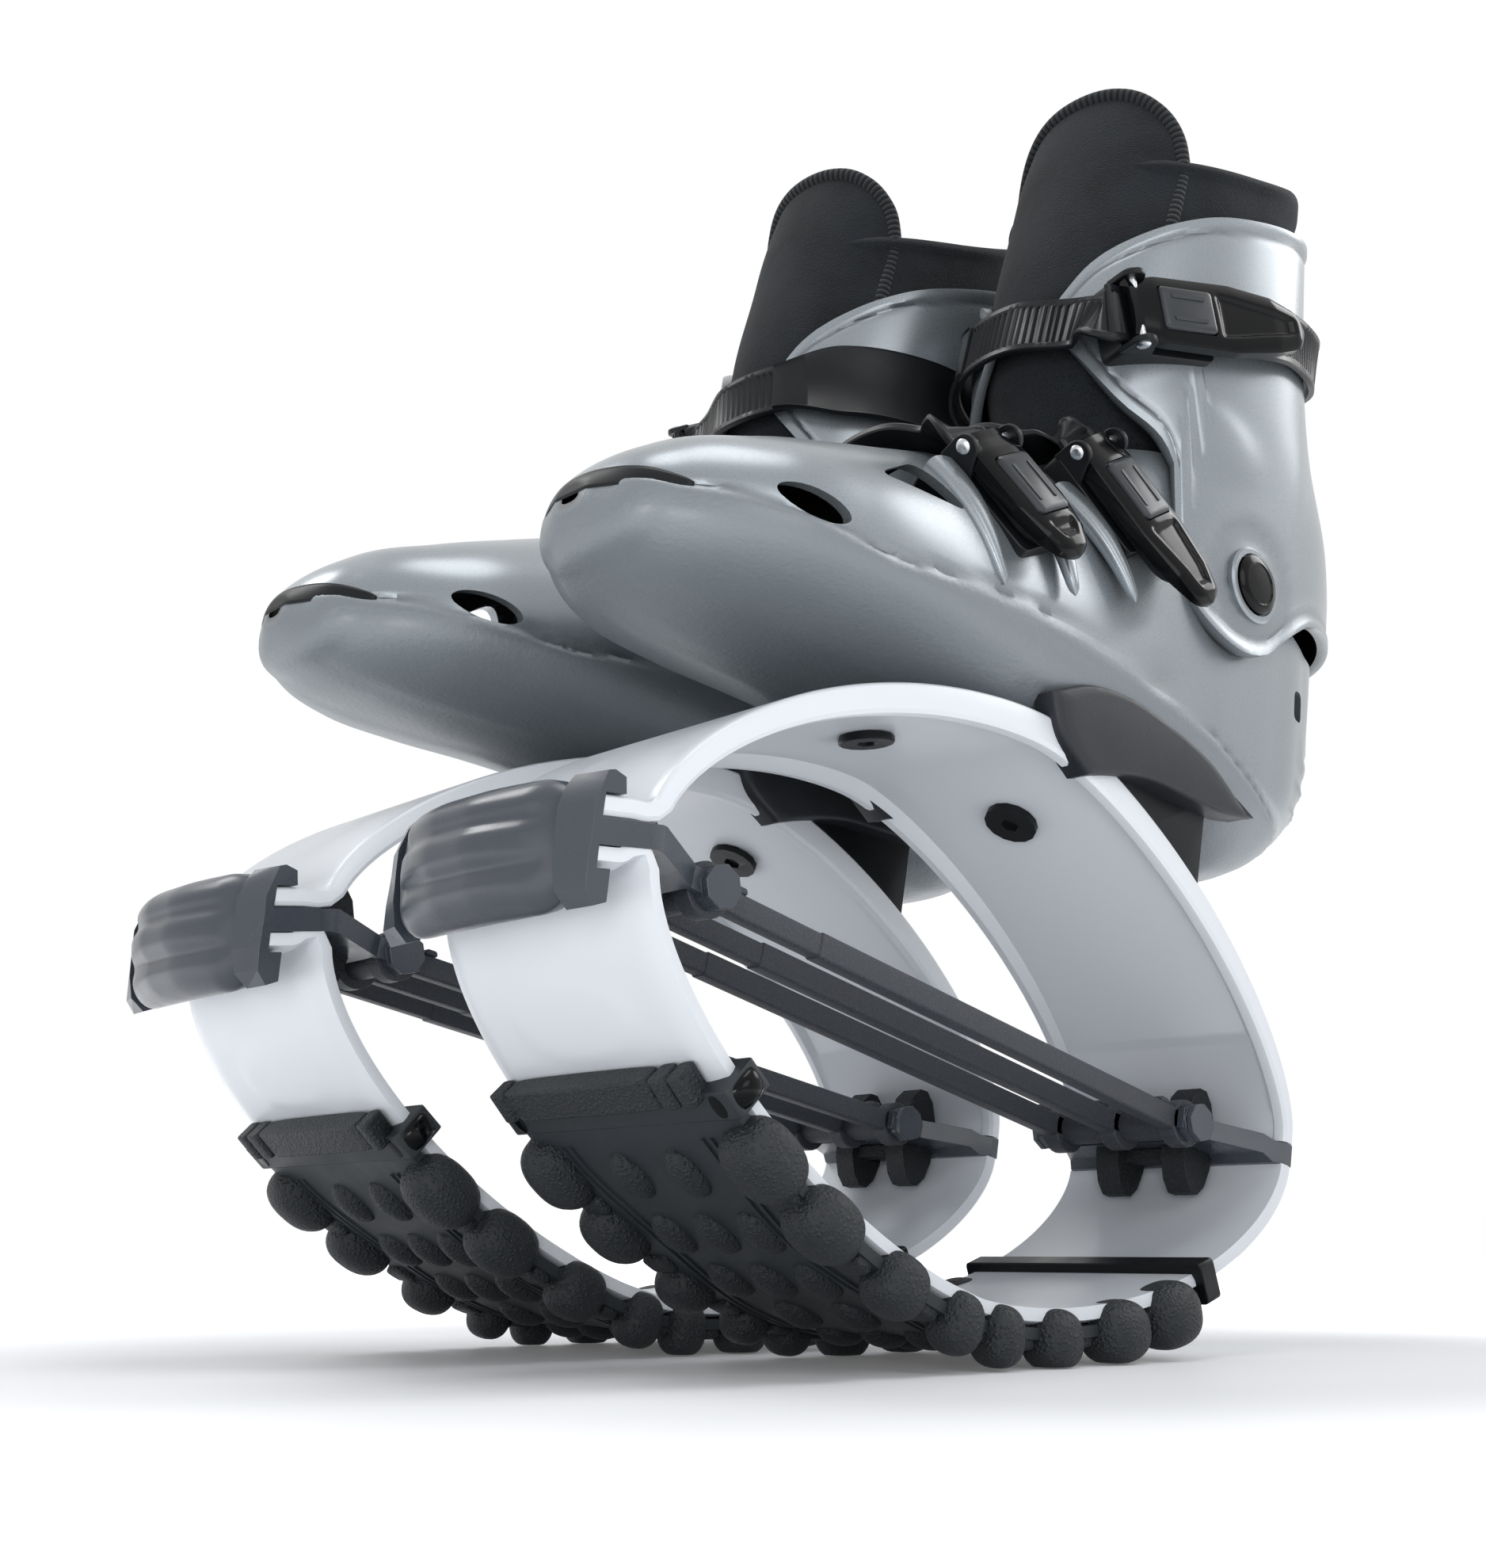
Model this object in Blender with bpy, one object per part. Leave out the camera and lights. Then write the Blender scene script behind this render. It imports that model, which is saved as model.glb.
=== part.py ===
"""A pair of rebound jumping shoes: two moulded boots, each on a spring of two bowed shells.

Every boot is drawn as a left boot in its own boot frame, in metres: X towards the toe,
Y towards the left, which is the outer side with the buckles, and Z up, square to the
chord between the two cross pins. The origin lies midway between the pins. Each boot is
then leaned back on its rocker tread and set down. The right boot mirrors the left one.
"""

import math

import bmesh
import bpy
import numpy as np
from mathutils import Matrix, Vector

# Spring shells: a power curve on each side of the pins, ends hooked by the holders.
SHELL_HALF_LENGTH = 0.1365
SHELL_WIDTH = 0.0848
UPPER_RISE = 0.0845
LOWER_DROP = 0.0763
UPPER_POWER = 1.57
LOWER_POWER = 1.62
SHELL_END_HEIGHT = 0.0065
UPPER_WALL = 0.0052
UPPER_RIM_DEPTH = 0.0100
UPPER_RIM_WIDTH = 0.0050
UPPER_RIM_SLOPE = 0.0020
LOWER_WALL = 0.0050
SHELL_STEPS = 22
TREAD_STEPS = 12
REAR_EDGE_UPPER = 0.0020
REAR_EDGE_LOWER = -0.0056

# Front lips of the shells, in a hook frame that is tipped down towards the toe.
HOOK_BEYOND_SHELL = 0.0135
HOOK_X = SHELL_HALF_LENGTH + HOOK_BEYOND_SHELL
HOOK_Z = -0.0060
HOOK_TILT = math.radians(-17)
UPPER_LIP_TOP = 0.0091
LOWER_LIP_BOTTOM = -0.0084
UPPER_LIP_START = -0.0110
LOWER_LIP_START = -0.0070
LIP_END = 0.0060
LIP_BEND_HEIGHT = 0.0060
# Outer outline of the front housing, and where its mouth ends above and below.
HOOK_OUTLINE = (
    (-0.0055, 0.0135), (0.0010, 0.0150), (0.0070, 0.0147), (0.0120, 0.0120), (0.0150, 0.0065),
    (0.0158, 0.0010), (0.0152, -0.0070), (0.0125, -0.0135), (0.0060, -0.0175), (0.0005, -0.0165),
)
HOOK_LOW_BACK = -0.0005
HOOK_TOP_BACK = -0.0060

# Tread: a rubber band under the lower shell, with lugs.
TREAD_INSET = 0.0435
TREAD_REACH = SHELL_HALF_LENGTH - TREAD_INSET
TREAD_BASE = 0.0042
SIDE_LUG_LENGTH = 0.0085
SIDE_LUG_WIDTH = 0.0078
SIDE_LUG_HEIGHT = 0.0082
SIDE_LUG_Y = 0.0400
MIDDLE_LUG_LENGTH = 0.0085
MIDDLE_LUG_WIDTH = 0.0055
MIDDLE_LUG_HEIGHT = 0.0040
TREAD_FLAT = 0.0023
# Side lugs: place along the tread, size in plan and height.
SIDE_LUG_SHARES = (
    (-0.865, 1.25, 1.15), (-0.624, 1.20, 1.05), (-0.343, 0.95, 1.00), (-0.105, 0.80, 1.00), (0.070, 0.80, 1.00),
    (0.322, 1.00, 1.00), (0.618, 1.25, 1.00), (0.860, 1.35, 1.00),
)
# Rows of middle lugs: place along the tread, and places across it.
MIDDLE_ROW_SHARES = (
    (-0.84, (-0.26, 0.26)),
    (-0.60, (-0.40, 0.0, 0.40)),
    (-0.35, (-0.26, 0.26)),
    (-0.10, (-0.40, 0.0, 0.40)),
    (0.14, (-0.26, 0.26)),
    (0.37, (-0.40, 0.0, 0.40)),
    (0.60, (-0.40, 0.0, 0.40)),
    (0.84, (-0.26, 0.26)),
)

# Clips round the lower shell, in one with the ends of the tread.
FRONT_CLIP_INSET = 0.0405
REAR_CLIP_INSET = 0.0410
FRONT_CLIP_X = SHELL_HALF_LENGTH - FRONT_CLIP_INSET
REAR_CLIP_X = REAR_CLIP_INSET - SHELL_HALF_LENGTH
CLIP_CLEARANCE = 0.0007
CLIP_WALL = 0.0030
FRONT_CLIP_LENGTH = 0.0085
REAR_CLIP_LENGTH = 0.0070
BUMPER_LENGTH = 0.0100
BUMPER_DEPTH = 0.0080
BUMPER_EDGE = 0.0030

# Cross pins and elastic straps between them.
PIN_INSET = 0.0338
PIN_X = SHELL_HALF_LENGTH - PIN_INSET
PIN_RADIUS = 0.0028
PIN_HEAD_RADIUS = 0.0061
PIN_HEAD_THICKNESS = 0.0020
STRAP_SPACING = 0.0230
STRAP_WIDTH = 0.0060
STRAP_HEIGHT = 0.0072
STRAP_EYE_WALL = 0.0039
STRAP_SLEEVE_WALL = 0.0014

# Holders: two arms from each pin, a web between the shells and outer hooks at the front.
ARM_WIDTH = 0.0030
ARM_THICKNESS = 0.0062
ARM_BOSS_RADIUS = 0.0060
HOLDER_BAY_END = 0.0012
HOLDER_SPLAY_INSET = 0.0035
HOLDER_SPLAY_X = SHELL_HALF_LENGTH - HOLDER_SPLAY_INSET
WEB_THICKNESS = 0.0065
WEB_MIDDLE = 0.00035
WEB_START = -0.0140
WEB_END = 0.0090
HOOK_WIDTH = 0.0090
HOOK_OVERHANG = 0.0002
# The housing's front falls back towards both sides: place across, and share of the fall.
HOUSING_ROUND = 0.0130
HOUSING_ROUND_REACH = 0.0120
HOUSING_DEPTH = 0.0270
HOUSING_ROUND_SHARES = ((0.0, 0.0), (0.24, 0.0), (0.47, 0.23), (0.71, 0.54), (1.0, 1.0))
CAP_WALL_FRONT = 0.0062
REAR_HOLDER_DROP = -0.0018
REAR_HOLDER_INSET = 0.0003
REAR_HOLDER_END = SHELL_HALF_LENGTH - REAR_HOLDER_INSET
REAR_CAP_WALL = 0.0035
REAR_CAP_WIDTH = 0.0680
REAR_CAP_HEIGHT = 0.0260

# Rubber bumpers that stand through the holders.
BUMPER_DISC_INSET = 0.0153
BUMPER_DISC_X = SHELL_HALF_LENGTH - BUMPER_DISC_INSET
BUMPER_DISC_HALF_LENGTH = 0.0078
BUMPER_DISC_HALF_HEIGHT = 0.0175
BUMPER_DISC_THICKNESS = 0.0090
BUMPER_DISC_Y = 0.0130
BUMPER_FOOT_LENGTH = 0.0100
BUMPER_FOOT_THICKNESS = 0.0040

# Foot shell.
FOOT_HEEL_X = -0.1610
FOOT_LENGTH = 0.3155
FOOT_WIDTH = 0.1000
FOOT_SOLE_Z = 0.0800
FOOT_HEIGHT = 0.1300
FOOT_WALL = 0.0032
FOOT_LOWER_POWER = 2.5
FOOT_SIDES = 16
# Each station: place along the boot, sole, floor inside, widest height, top, half width
# and the power of the upper half, which is low where the sides lean in flat.
FOOT_STATION_SHARES = (
    (0.000, 0.460, 0.500, 0.650, 0.860, 0.18, 2.3),
    (0.020, 0.330, 0.370, 0.570, 1.300, 0.41, 2.3),
    (0.085, 0.150, 0.195, 0.440, 1.650, 0.68, 2.3),
    (0.155, 0.062, 0.122, 0.380, 1.750, 0.77, 2.3),
    (0.240, 0.054, 0.122, 0.345, 1.750, 0.82, 2.3),
    (0.345, 0.060, 0.122, 0.325, 1.650, 0.86, 2.2),
    (0.440, 0.045, 0.122, 0.305, 1.000, 0.89, 1.9),
    (0.535, 0.045, 0.122, 0.280, 0.890, 0.93, 1.8),
    (0.620, 0.045, 0.122, 0.245, 0.755, 0.97, 1.8),
    (0.705, 0.040, 0.110, 0.205, 0.640, 1.00, 1.9),
    (0.795, 0.016, 0.060, 0.175, 0.520, 0.98, 2.1),
    (0.880, -0.002, 0.028, 0.155, 0.405, 0.87, 2.3),
    (0.950, 0.003, 0.033, 0.142, 0.305, 0.57, 2.3),
    (0.989, 0.040, 0.065, 0.130, 0.205, 0.30, 2.2),
    (1.000, 0.085, 0.100, 0.122, 0.160, 0.13, 2.2),
)
# The rim of the ankle opening, heel to instep: place along the boot and height.
FOOT_RIM_SHARES = (
    (-0.05, 0.815), (0.150, 0.815), (0.185, 0.930), (0.345, 1.020), (0.400, 1.000), (0.435, 0.990),
    (0.520, 0.940),
)
THROAT_START_SHARE = 0.370
THROAT_END_SHARE = 0.655
THROAT_LOW_SHARE = 0.420
THROAT_WIDTH = 0.0420
SIDE_VENT_SHARE = 0.855
SIDE_VENT_HEIGHT_SHARE = 0.235
SIDE_VENT_LENGTH = 0.0220
SIDE_VENT_HEIGHT = 0.0085
UPPER_VENT_SHARE = 0.735
UPPER_VENT_HEIGHT_SHARE = 0.505
UPPER_VENT_LENGTH = 0.0260
UPPER_VENT_HEIGHT = 0.0070
TOE_SLOT_HEIGHT_SHARE = 0.150
TOE_SLOT_HEIGHT = 0.0080
TOE_SLOT_DEPTH = 0.0200
TOE_SLOT_HALF_WIDTH = 0.0330

# Heel pad: a block on the upper shell, with a fin each side of the heel.
PAD_HALF_WIDTH = 0.0385
PAD_FIN_HALF_WIDTH = 0.0455
PAD_FRONT_X = -0.0280
PAD_REAR_INSET = 0.0565
PAD_REAR_X = PAD_REAR_INSET - SHELL_HALF_LENGTH
PAD_TOP_Z = 0.1000
PAD_FIN_SHARES = (
    (-0.48, 1.36), (-0.075, -0.18), (0.135, 0.05), (1.515, 1.31), (0.90, 1.95), (0.4425, 2.30), (0.192, 1.71),
)
PAD_FIN_INSIDE = 0.0335

# Bolts between the upper shell and the boot.
BOLT_XS = (0.0370, -0.0340)
BOLT_HEAD_RADIUS = 0.0085
BOLT_HEAD_THICKNESS = 0.0024
BOLT_SHANK_RADIUS = 0.0036
BOLT_SOCKET_RADIUS = 0.0030
BOLT_SOCKET_DEPTH = 0.0014

# Cuff: a tube round the shin, trimmed to its side outline.
PIVOT_X = -0.0830
PIVOT_Z = 0.1780
CUFF_WALL = 0.0030
CUFF_POWER = 2.3
CUFF_BASE_Z = 0.1450
CUFF_HEIGHT = 0.2200
CUFF_REAR_X = -0.1665
CUFF_LENGTH = 0.1645
CUFF_WIDTH = 0.1050
# Each ring: height, rear, front, half width.
CUFF_RING_SHARES = (
    (0.000, 0.000, 0.940, 0.885),
    (0.205, 0.000, 0.955, 0.890),
    (0.360, 0.030, 0.985, 0.905),
    (0.475, 0.127, 1.000, 0.930),
    (0.610, 0.201, 0.990, 0.960),
    (0.800, 0.259, 0.955, 0.980),
    (1.000, 0.290, 0.915, 0.985),
)
# The side outline: place along the cuff and height.
CUFF_OUTLINE_SHARES = (
    (-0.10, 0.200), (0.130, 0.195), (0.270, 0.170), (0.370, 0.110), (0.450, 0.050),
    (0.520, 0.030), (0.620, 0.040), (0.700, 0.080), (0.740, 0.160), (0.740, 0.250),
    (0.790, 0.300), (0.880, 0.340), (0.945, 0.395), (0.985, 0.450), (0.985, 0.500),
    (0.955, 0.590), (0.900, 0.640), (0.800, 0.700), (0.640, 0.765), (0.400, 0.850),
    (0.180, 0.925), (0.120, 0.945), (-0.10, 0.950),
)
CUFF_FOOT_CLEARANCE = 0.0018
RIVET_HEAD_RADIUS = 0.0100
RIVET_HEAD_THICKNESS = 0.0034
RIVET_SHANK_RADIUS = 0.0040
RIVET_SHANK_END = 0.0020

# Liner and tongue: the leg tube, open at the top, with the tongue as its front.
LINER_WALL = 0.0058
LINER_FOOT_WALL = 0.0042
LINER_SIDES = 12
LINER_POWER = 2.3
LINER_BELOW_CUFF = 0.0030
LINER_TO_CUFF_SHARE = 1.1181818
LINER_BASE_Z = CUFF_BASE_Z - LINER_BELOW_CUFF
LINER_HEIGHT = CUFF_HEIGHT * LINER_TO_CUFF_SHARE
LINER_REAR_X = -0.1500
LINER_LENGTH = 0.1420
LINER_WIDTH = 0.0960
LINER_RING_SHARES = (
    (0.000, 0.020, 0.780, 0.660),
    (0.180, 0.010, 0.880, 0.680),
    (0.285, 0.000, 0.930, 0.690),
    (0.400, 0.053, 0.985, 0.885),
    (0.540, 0.143, 1.000, 0.945),
    (0.720, 0.215, 0.965, 0.975),
    (1.000, 0.257, 0.905, 0.985),
)
LINER_TOP_SHARES = ((-0.20, 0.960), (0.14, 0.960), (0.30, 0.915), (0.42, 0.850), (0.55, 0.800), (0.735, 0.760))
TONGUE_SPLIT_X = -0.0450
TONGUE_SLIT = 0.0012
TONGUE_SLIT_BASE_Z = 0.2200
TONGUE_TOP_Z = 0.3620
TONGUE_HALF_WIDTH = 0.0500
TONGUE_ROUND = 0.0500

# Toothed straps. Skin points are an angle, a place and a clearance.
LADDER_WIDTH = 0.0200
LADDER_THICKNESS = 0.0024
PAD_STRAP_WIDTH = 0.0300
PAD_STRAP_THICKNESS = 0.0020
PAD_STRAP_SEAT = 0.0012
PAD_STRAP_START = 0.72
SHIN_TAIL_STEPS = 6
SHIN_WRAP_STEPS = 11
INSTEP_STEPS = 9
# From the buckle to the tail round the heel side, and round the front to the inner side.
SHIN_TAIL = ((104, 0.2780, 0.0032), (120, 0.2830, 0.0032), (138, 0.2895, 0.0034), (158, 0.2950, 0.0034))
SHIN_WRAP = (
    (26, 0.2440, 0.0054), (2, 0.2460, 0.0060), (-24, 0.2495, 0.0046), (-50, 0.2545, 0.0034), (-74, 0.2590, 0.0024),
    (-90, 0.2615, 0.0020),
)
ANKLE_WRAP = ((66, 0.0000, 0.0050), (86, 0.0050, 0.0030), (106, 0.0050, 0.0028), (128, 0.0000, 0.0028),
              (150, -0.0080, 0.0026), (168, -0.0150, 0.0026))
TOE_WRAP = ((62, 0.0450, 0.0046), (82, 0.0480, 0.0030), (100, 0.0480, 0.0028), (122, 0.0440, 0.0028),
            (145, 0.0360, 0.0026), (166, 0.0270, 0.0026))
STRAP_ANCHOR = ((-0.0270, 0.1290), (-0.0290, 0.1480), (-0.0180, 0.1560), (0.0150, 0.1390), (0.0400, 0.1280), (0.0380, 0.1120),
                (0.0150, 0.1170))
SKIN_PLATE = 0.0016
STRAP_RUN_SHARE = 0.80
STRAP_LEAD = 0.0040

# Ratchet buckles, in a frame that runs along the strap from its entrance.
BUCKLE_EAR_GAP = 0.0003
CRUMB = 0.0015
BUCKLE_EAR = 0.0018
BUCKLE_BASE_LENGTH = 0.0400
BUCKLE_BASE_FRONT = -0.0045
BUCKLE_BASE_DEPTH = 0.0110
BUCKLE_EAR_TOP = 0.0066
BUCKLE_EAR_LENGTH = 0.0110
BUCKLE_AXIS_HEIGHT = 0.0046
BUCKLE_KNUCKLE_RADIUS = 0.0030
BUCKLE_PIN_RADIUS = 0.0014
BUCKLE_PIN_HEAD_RADIUS = 0.0024
BUCKLE_PIN_HEAD = 0.0012
BUCKLE_RUN_CLEARANCE = 0.0003
LEVER_WIDTH = 0.0250
LEVER_TIP_WIDTH = 0.0070
LEVER_THICKNESS = 0.0050
LEVER_FLARE_START = 0.0075
LEVER_FLARE_END = 0.0120
BUTTON_START = 0.0080
BUTTON_LENGTH = 0.0220
BUTTON_WIDTH = 0.0150
BUTTON_PROUD = 0.0010
BUTTON_TRAVEL = 0.0012
POCKET_DEPTH = 0.0034
# Each buckle: its entrance, the end of its lever, its outward direction and its rise.
SHIN_BUCKLE = {"at": (-0.0120, 0.0350, 0.2450), "tail": (-0.0780, 0.0540, 0.2700), "out": (0.25, 0.96, 0.0), "rise": 0.0060}
ANKLE_BUCKLE = {"at": (-0.0100, 0.0250, 0.1900), "tail": (-0.0500, 0.0460, 0.1470), "out": (0.2, 0.92, 0.3), "rise": 0.0081}
TOE_BUCKLE = {"at": (0.0400, 0.0270, 0.1600), "tail": (0.0140, 0.0460, 0.1290), "out": (0.25, 0.88, 0.38), "rise": 0.0087}

# The frame under the instep buckles: a plate on the boot with three horns.
FRAME_OUTLINE = ((-0.0420, 0.1500), (-0.0400, 0.1640), (-0.0180, 0.1790), (0.0120, 0.1700), (0.0440, 0.1560),
                 (0.0520, 0.1440), (0.0380, 0.1320), (-0.0050, 0.1370), (-0.0300, 0.1420))
HORN_THICKNESS = 0.0054
HORN_HEIGHT = 0.0120
HORNS = (
    ((0.0545, 0.0310, 0.1510), (0.0370, 0.0475, 0.1150)),
    ((0.0225, 0.0320, 0.1675), (0.0070, 0.0480, 0.1265)),
    ((-0.0020, 0.0280, 0.1750), (-0.0230, 0.0460, 0.1400)),
)

# How the pair stands.
LEFT_LEAN = math.radians(14.0)
RIGHT_LEAN = math.radians(11.2)
RIGHT_YAW = math.radians(-2.25)
RIGHT_AHEAD = 0.0145
BOOT_SPACING = 0.1135

GAP = 0.0003
OVERRUN = 0.0500
ROUND = 14
SMALL_ROUND = 8
LEG_SIDES = 18

SILVER = ((0.42, 0.45, 0.47, 1), 0.3, 0.5)
WHITE = ((0.80, 0.82, 0.84, 1), 0.4, 0.0)
GREY = ((0.09, 0.095, 0.105, 1), 0.42, 0.1)
RUBBER = ((0.045, 0.05, 0.055, 1), 0.75, 0.0)
BLACK = ((0.012, 0.013, 0.015, 1), 0.2, 0.0)
FABRIC = ((0.04, 0.043, 0.048, 1), 0.85, 0.0)
STEEL = ((0.6, 0.6, 0.6, 1), 0.25, 1.0)


def clear_scene():
    """Removes every object that the file holds."""
    for thing in list(bpy.data.objects):
        bpy.data.objects.remove(thing, do_unlink=True)


def make_material(name, finish):
    """A plain finish: colour, roughness and metallic."""
    colour, roughness, metallic = finish
    material = bpy.data.materials.new(name)
    material.use_nodes = True
    shader = material.node_tree.nodes["Principled BSDF"]
    shader.inputs["Base Color"].default_value = colour
    shader.inputs["Roughness"].default_value = roughness
    shader.inputs["Metallic"].default_value = metallic
    return material


def object_from(name, mesh):
    """A new object in the scene with this mesh."""
    thing = bpy.data.objects.new(name, mesh)
    bpy.context.scene.collection.objects.link(thing)
    return thing


def face_outwards(shape):
    """Makes a closed bmesh's faces agree and point out."""
    bmesh.ops.recalc_face_normals(shape, faces=shape.faces)
    if shape.calc_volume(signed=True) < 0:
        bmesh.ops.reverse_faces(shape, faces=shape.faces)


def object_from_bmesh(name, shape):
    """Turns a bmesh into an object, with its faces pointing out."""
    face_outwards(shape)
    mesh = bpy.data.meshes.new(name)
    shape.to_mesh(mesh)
    shape.free()
    return object_from(name, mesh)


def loft(name, rings):
    """A closed body through rings of equal point counts, with a flat cap at each end."""
    shape = bmesh.new()
    rows = [[shape.verts.new(point) for point in ring] for ring in rings]
    count = len(rows[0])
    for low, high in zip(rows, rows[1:]):
        for k in range(count):
            after = (k + 1) % count
            shape.faces.new((low[k], low[after], high[after]))
            shape.faces.new((low[k], high[after], high[k]))
    shape.faces.new(reversed(rows[0]))
    shape.faces.new(rows[-1])
    return object_from_bmesh(name, shape)


def plate(name, loops, thickness, matrix):
    """A flat outline, with any holes, as a 2D curve of this thickness, set by a matrix."""
    curve = bpy.data.curves.new(name, "CURVE")
    curve.dimensions = "2D"
    curve.fill_mode = "BOTH"
    curve.extrude = thickness / 2
    for loop in loops:
        spline = curve.splines.new("POLY")
        spline.points.add(len(loop) - 1)
        for point, (a, b) in zip(spline.points, loop):
            point.co = (a, b, 0, 1)
        spline.use_cyclic_u = True
    outline = object_from(name, curve)
    bpy.context.view_layer.update()
    graph = bpy.context.evaluated_depsgraph_get()
    mesh = bpy.data.meshes.new_from_object(outline.evaluated_get(graph))
    bpy.data.objects.remove(outline)
    shape = bmesh.new()
    shape.from_mesh(mesh)
    bmesh.ops.remove_doubles(shape, verts=shape.verts, dist=1e-6)
    shape.transform(matrix)
    bpy.data.meshes.remove(mesh)
    return object_from_bmesh(name, shape)


def side_plate(name, loops, low_y, high_y):
    """A side outline of (x, z) points that fills the room between two planes of Y."""
    turned = Matrix(((1, 0, 0, 0), (0, 0, -1, (low_y + high_y) / 2), (0, 1, 0, 0), (0, 0, 0, 1)))
    return plate(name, loops, high_y - low_y, turned)


def top_plate(name, loops, low_z, high_z):
    """A plan outline of (x, y) points between two heights."""
    return plate(name, loops, high_z - low_z, Matrix.Translation((0, 0, (low_z + high_z) / 2)))


def cylinder(name, radius, start, end, segments=SMALL_ROUND):
    """A cylinder between two points."""
    start = Vector(start)
    end = Vector(end)
    turn = (end - start).to_track_quat("Z", "Y").to_matrix().to_4x4()
    shape = bmesh.new()
    bmesh.ops.create_cone(
        shape, cap_ends=True, segments=segments, radius1=radius, radius2=radius, depth=(end - start).length
    )
    shape.transform(Matrix.Translation((start + end) / 2) @ turn)
    return object_from_bmesh(name, shape)


def box(name, low, high, matrix=None):
    """A box between two corners, in the frame of a matrix."""
    shape = bmesh.new()
    bmesh.ops.create_cube(shape, size=1)
    low = Vector(low)
    high = Vector(high)
    scale = Matrix.Diagonal((*(high - low), 1))
    shape.transform(Matrix.Translation((low + high) / 2) @ scale)
    if matrix is not None:
        shape.transform(matrix)
    return object_from_bmesh(name, shape)


def ball(name, centre, axes, radii, across, around):
    """An ellipsoid on three given axes."""
    shape = bmesh.new()
    bmesh.ops.create_uvsphere(shape, u_segments=around, v_segments=across, radius=1)
    columns = [Vector(axis) * radius for axis, radius in zip(axes, radii)]
    turned = Matrix((columns[0], columns[1], columns[2])).transposed().to_4x4()
    shape.transform(Matrix.Translation(centre) @ turned)
    return object_from_bmesh(name, shape)


def closed(mesh):
    """Whether each edge of a mesh has two faces."""
    shape = bmesh.new()
    shape.from_mesh(mesh)
    whole = all(len(edge.link_faces) == 2 for edge in shape.edges)
    shape.free()
    return whole


def drop_crumbs(mesh):
    """Removes loose bits smaller than a crumb, which a cut can leave on a curved face."""
    shape = bmesh.new()
    shape.from_mesh(mesh)
    left = set(shape.verts)
    while left:
        reached = {left.pop()}
        edge_of_reach = list(reached)
        while edge_of_reach:
            vertex = edge_of_reach.pop()
            near = {edge.other_vert(vertex) for edge in vertex.link_edges} - reached
            reached |= near
            edge_of_reach += near
        left -= reached
        places = np.array([vertex.co for vertex in reached])
        if np.ptp(places, axis=0).max() < CRUMB:
            bmesh.ops.delete(shape, geom=list(reached), context="VERTS")
    shape.to_mesh(mesh)
    shape.free()


def combine(target, tool, operation):
    """Cuts, joins or intersects the target with the tool, and removes the tool."""
    change = target.modifiers.new(operation, "BOOLEAN")
    change.operation = operation
    change.object = tool
    for solver in ("EXACT", "MANIFOLD"):
        change.solver = solver
        bpy.context.view_layer.update()
        graph = bpy.context.evaluated_depsgraph_get()
        mesh = bpy.data.meshes.new_from_object(target.evaluated_get(graph))
        if closed(mesh):
            break
    drop_crumbs(mesh)
    target.modifiers.clear()
    target.data = mesh
    bpy.data.objects.remove(tool)
    return target


def cut(target, *tools):
    """Takes each tool out of the target."""
    for tool in tools:
        combine(target, tool, "DIFFERENCE")
    return target


def join(target, *tools):
    """Fuses each tool with the target."""
    for tool in tools:
        combine(target, tool, "UNION")
    return target


def power_pair(angles, power):
    """Cosine and sine of a superellipse with this power."""
    c, s = np.cos(angles), np.sin(angles)
    return np.sign(c) * np.abs(c) ** (2 / power), np.sign(s) * np.abs(s) ** (2 / power)


def smooth_path(points, count):
    """A centripetal Catmull-Rom curve through the points, read at even steps of length."""
    points = np.array(points, float)
    ends = np.vstack((2 * points[0] - points[1], points, 2 * points[-1] - points[-2]))
    reads = [points[0]]
    for a, b, c, d in zip(ends, ends[1:], ends[2:], ends[3:]):
        t1, t2, t3 = np.cumsum([np.linalg.norm(q - p) ** 0.5 for p, q in ((a, b), (b, c), (c, d))])
        for t in np.linspace(t1, t2, 9)[1:]:
            ab = (t1 - t) / t1 * a + t / t1 * b
            bc = (t2 - t) / (t2 - t1) * b + (t - t1) / (t2 - t1) * c
            cd = (t3 - t) / (t3 - t2) * c + (t - t2) / (t3 - t2) * d
            abc = (t2 - t) / t2 * ab + t / t2 * bc
            bcd = (t3 - t) / (t3 - t1) * bc + (t - t1) / (t3 - t1) * cd
            reads.append((t2 - t) / (t2 - t1) * abc + (t - t1) / (t2 - t1) * bcd)
    reads = np.array(reads)
    far = np.concatenate(([0], np.cumsum(np.linalg.norm(np.diff(reads, axis=0), axis=1))))
    even = np.linspace(0, far[-1], count)
    return np.stack([np.interp(even, far, column) for column in reads.T], axis=1)


def line_normals(line):
    """Unit normals of a line of (x, z) points, on its left side."""
    along = np.gradient(line, axis=0)
    along /= np.linalg.norm(along, axis=1)[:, None]
    return np.stack((-along[:, 1], along[:, 0]), axis=1)


def hook_point(u, v):
    """A point of the hook frame as (x, z) in the boot frame."""
    c, s = math.cos(HOOK_TILT), math.sin(HOOK_TILT)
    return (HOOK_X + u * c - v * s, HOOK_Z + u * s + v * c)


def arc_line(rise, power, low_angle, high_angle, steps):
    """Outer line of a shell from the rear to the front, between two angles."""
    angles = np.linspace(high_angle, low_angle, steps)
    c, s = power_pair(angles, power)
    sign = math.copysign(1, rise)
    return np.stack((SHELL_HALF_LENGTH * c, sign * SHELL_END_HEIGHT + rise * s), axis=1)


def arc_height(x, rise, power):
    """Height of a shell's outer line at a place along the boot."""
    share = abs(x) / SHELL_HALF_LENGTH
    return math.copysign(SHELL_END_HEIGHT, rise) + rise * (1 - share**power) ** (1 / power)


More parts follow.
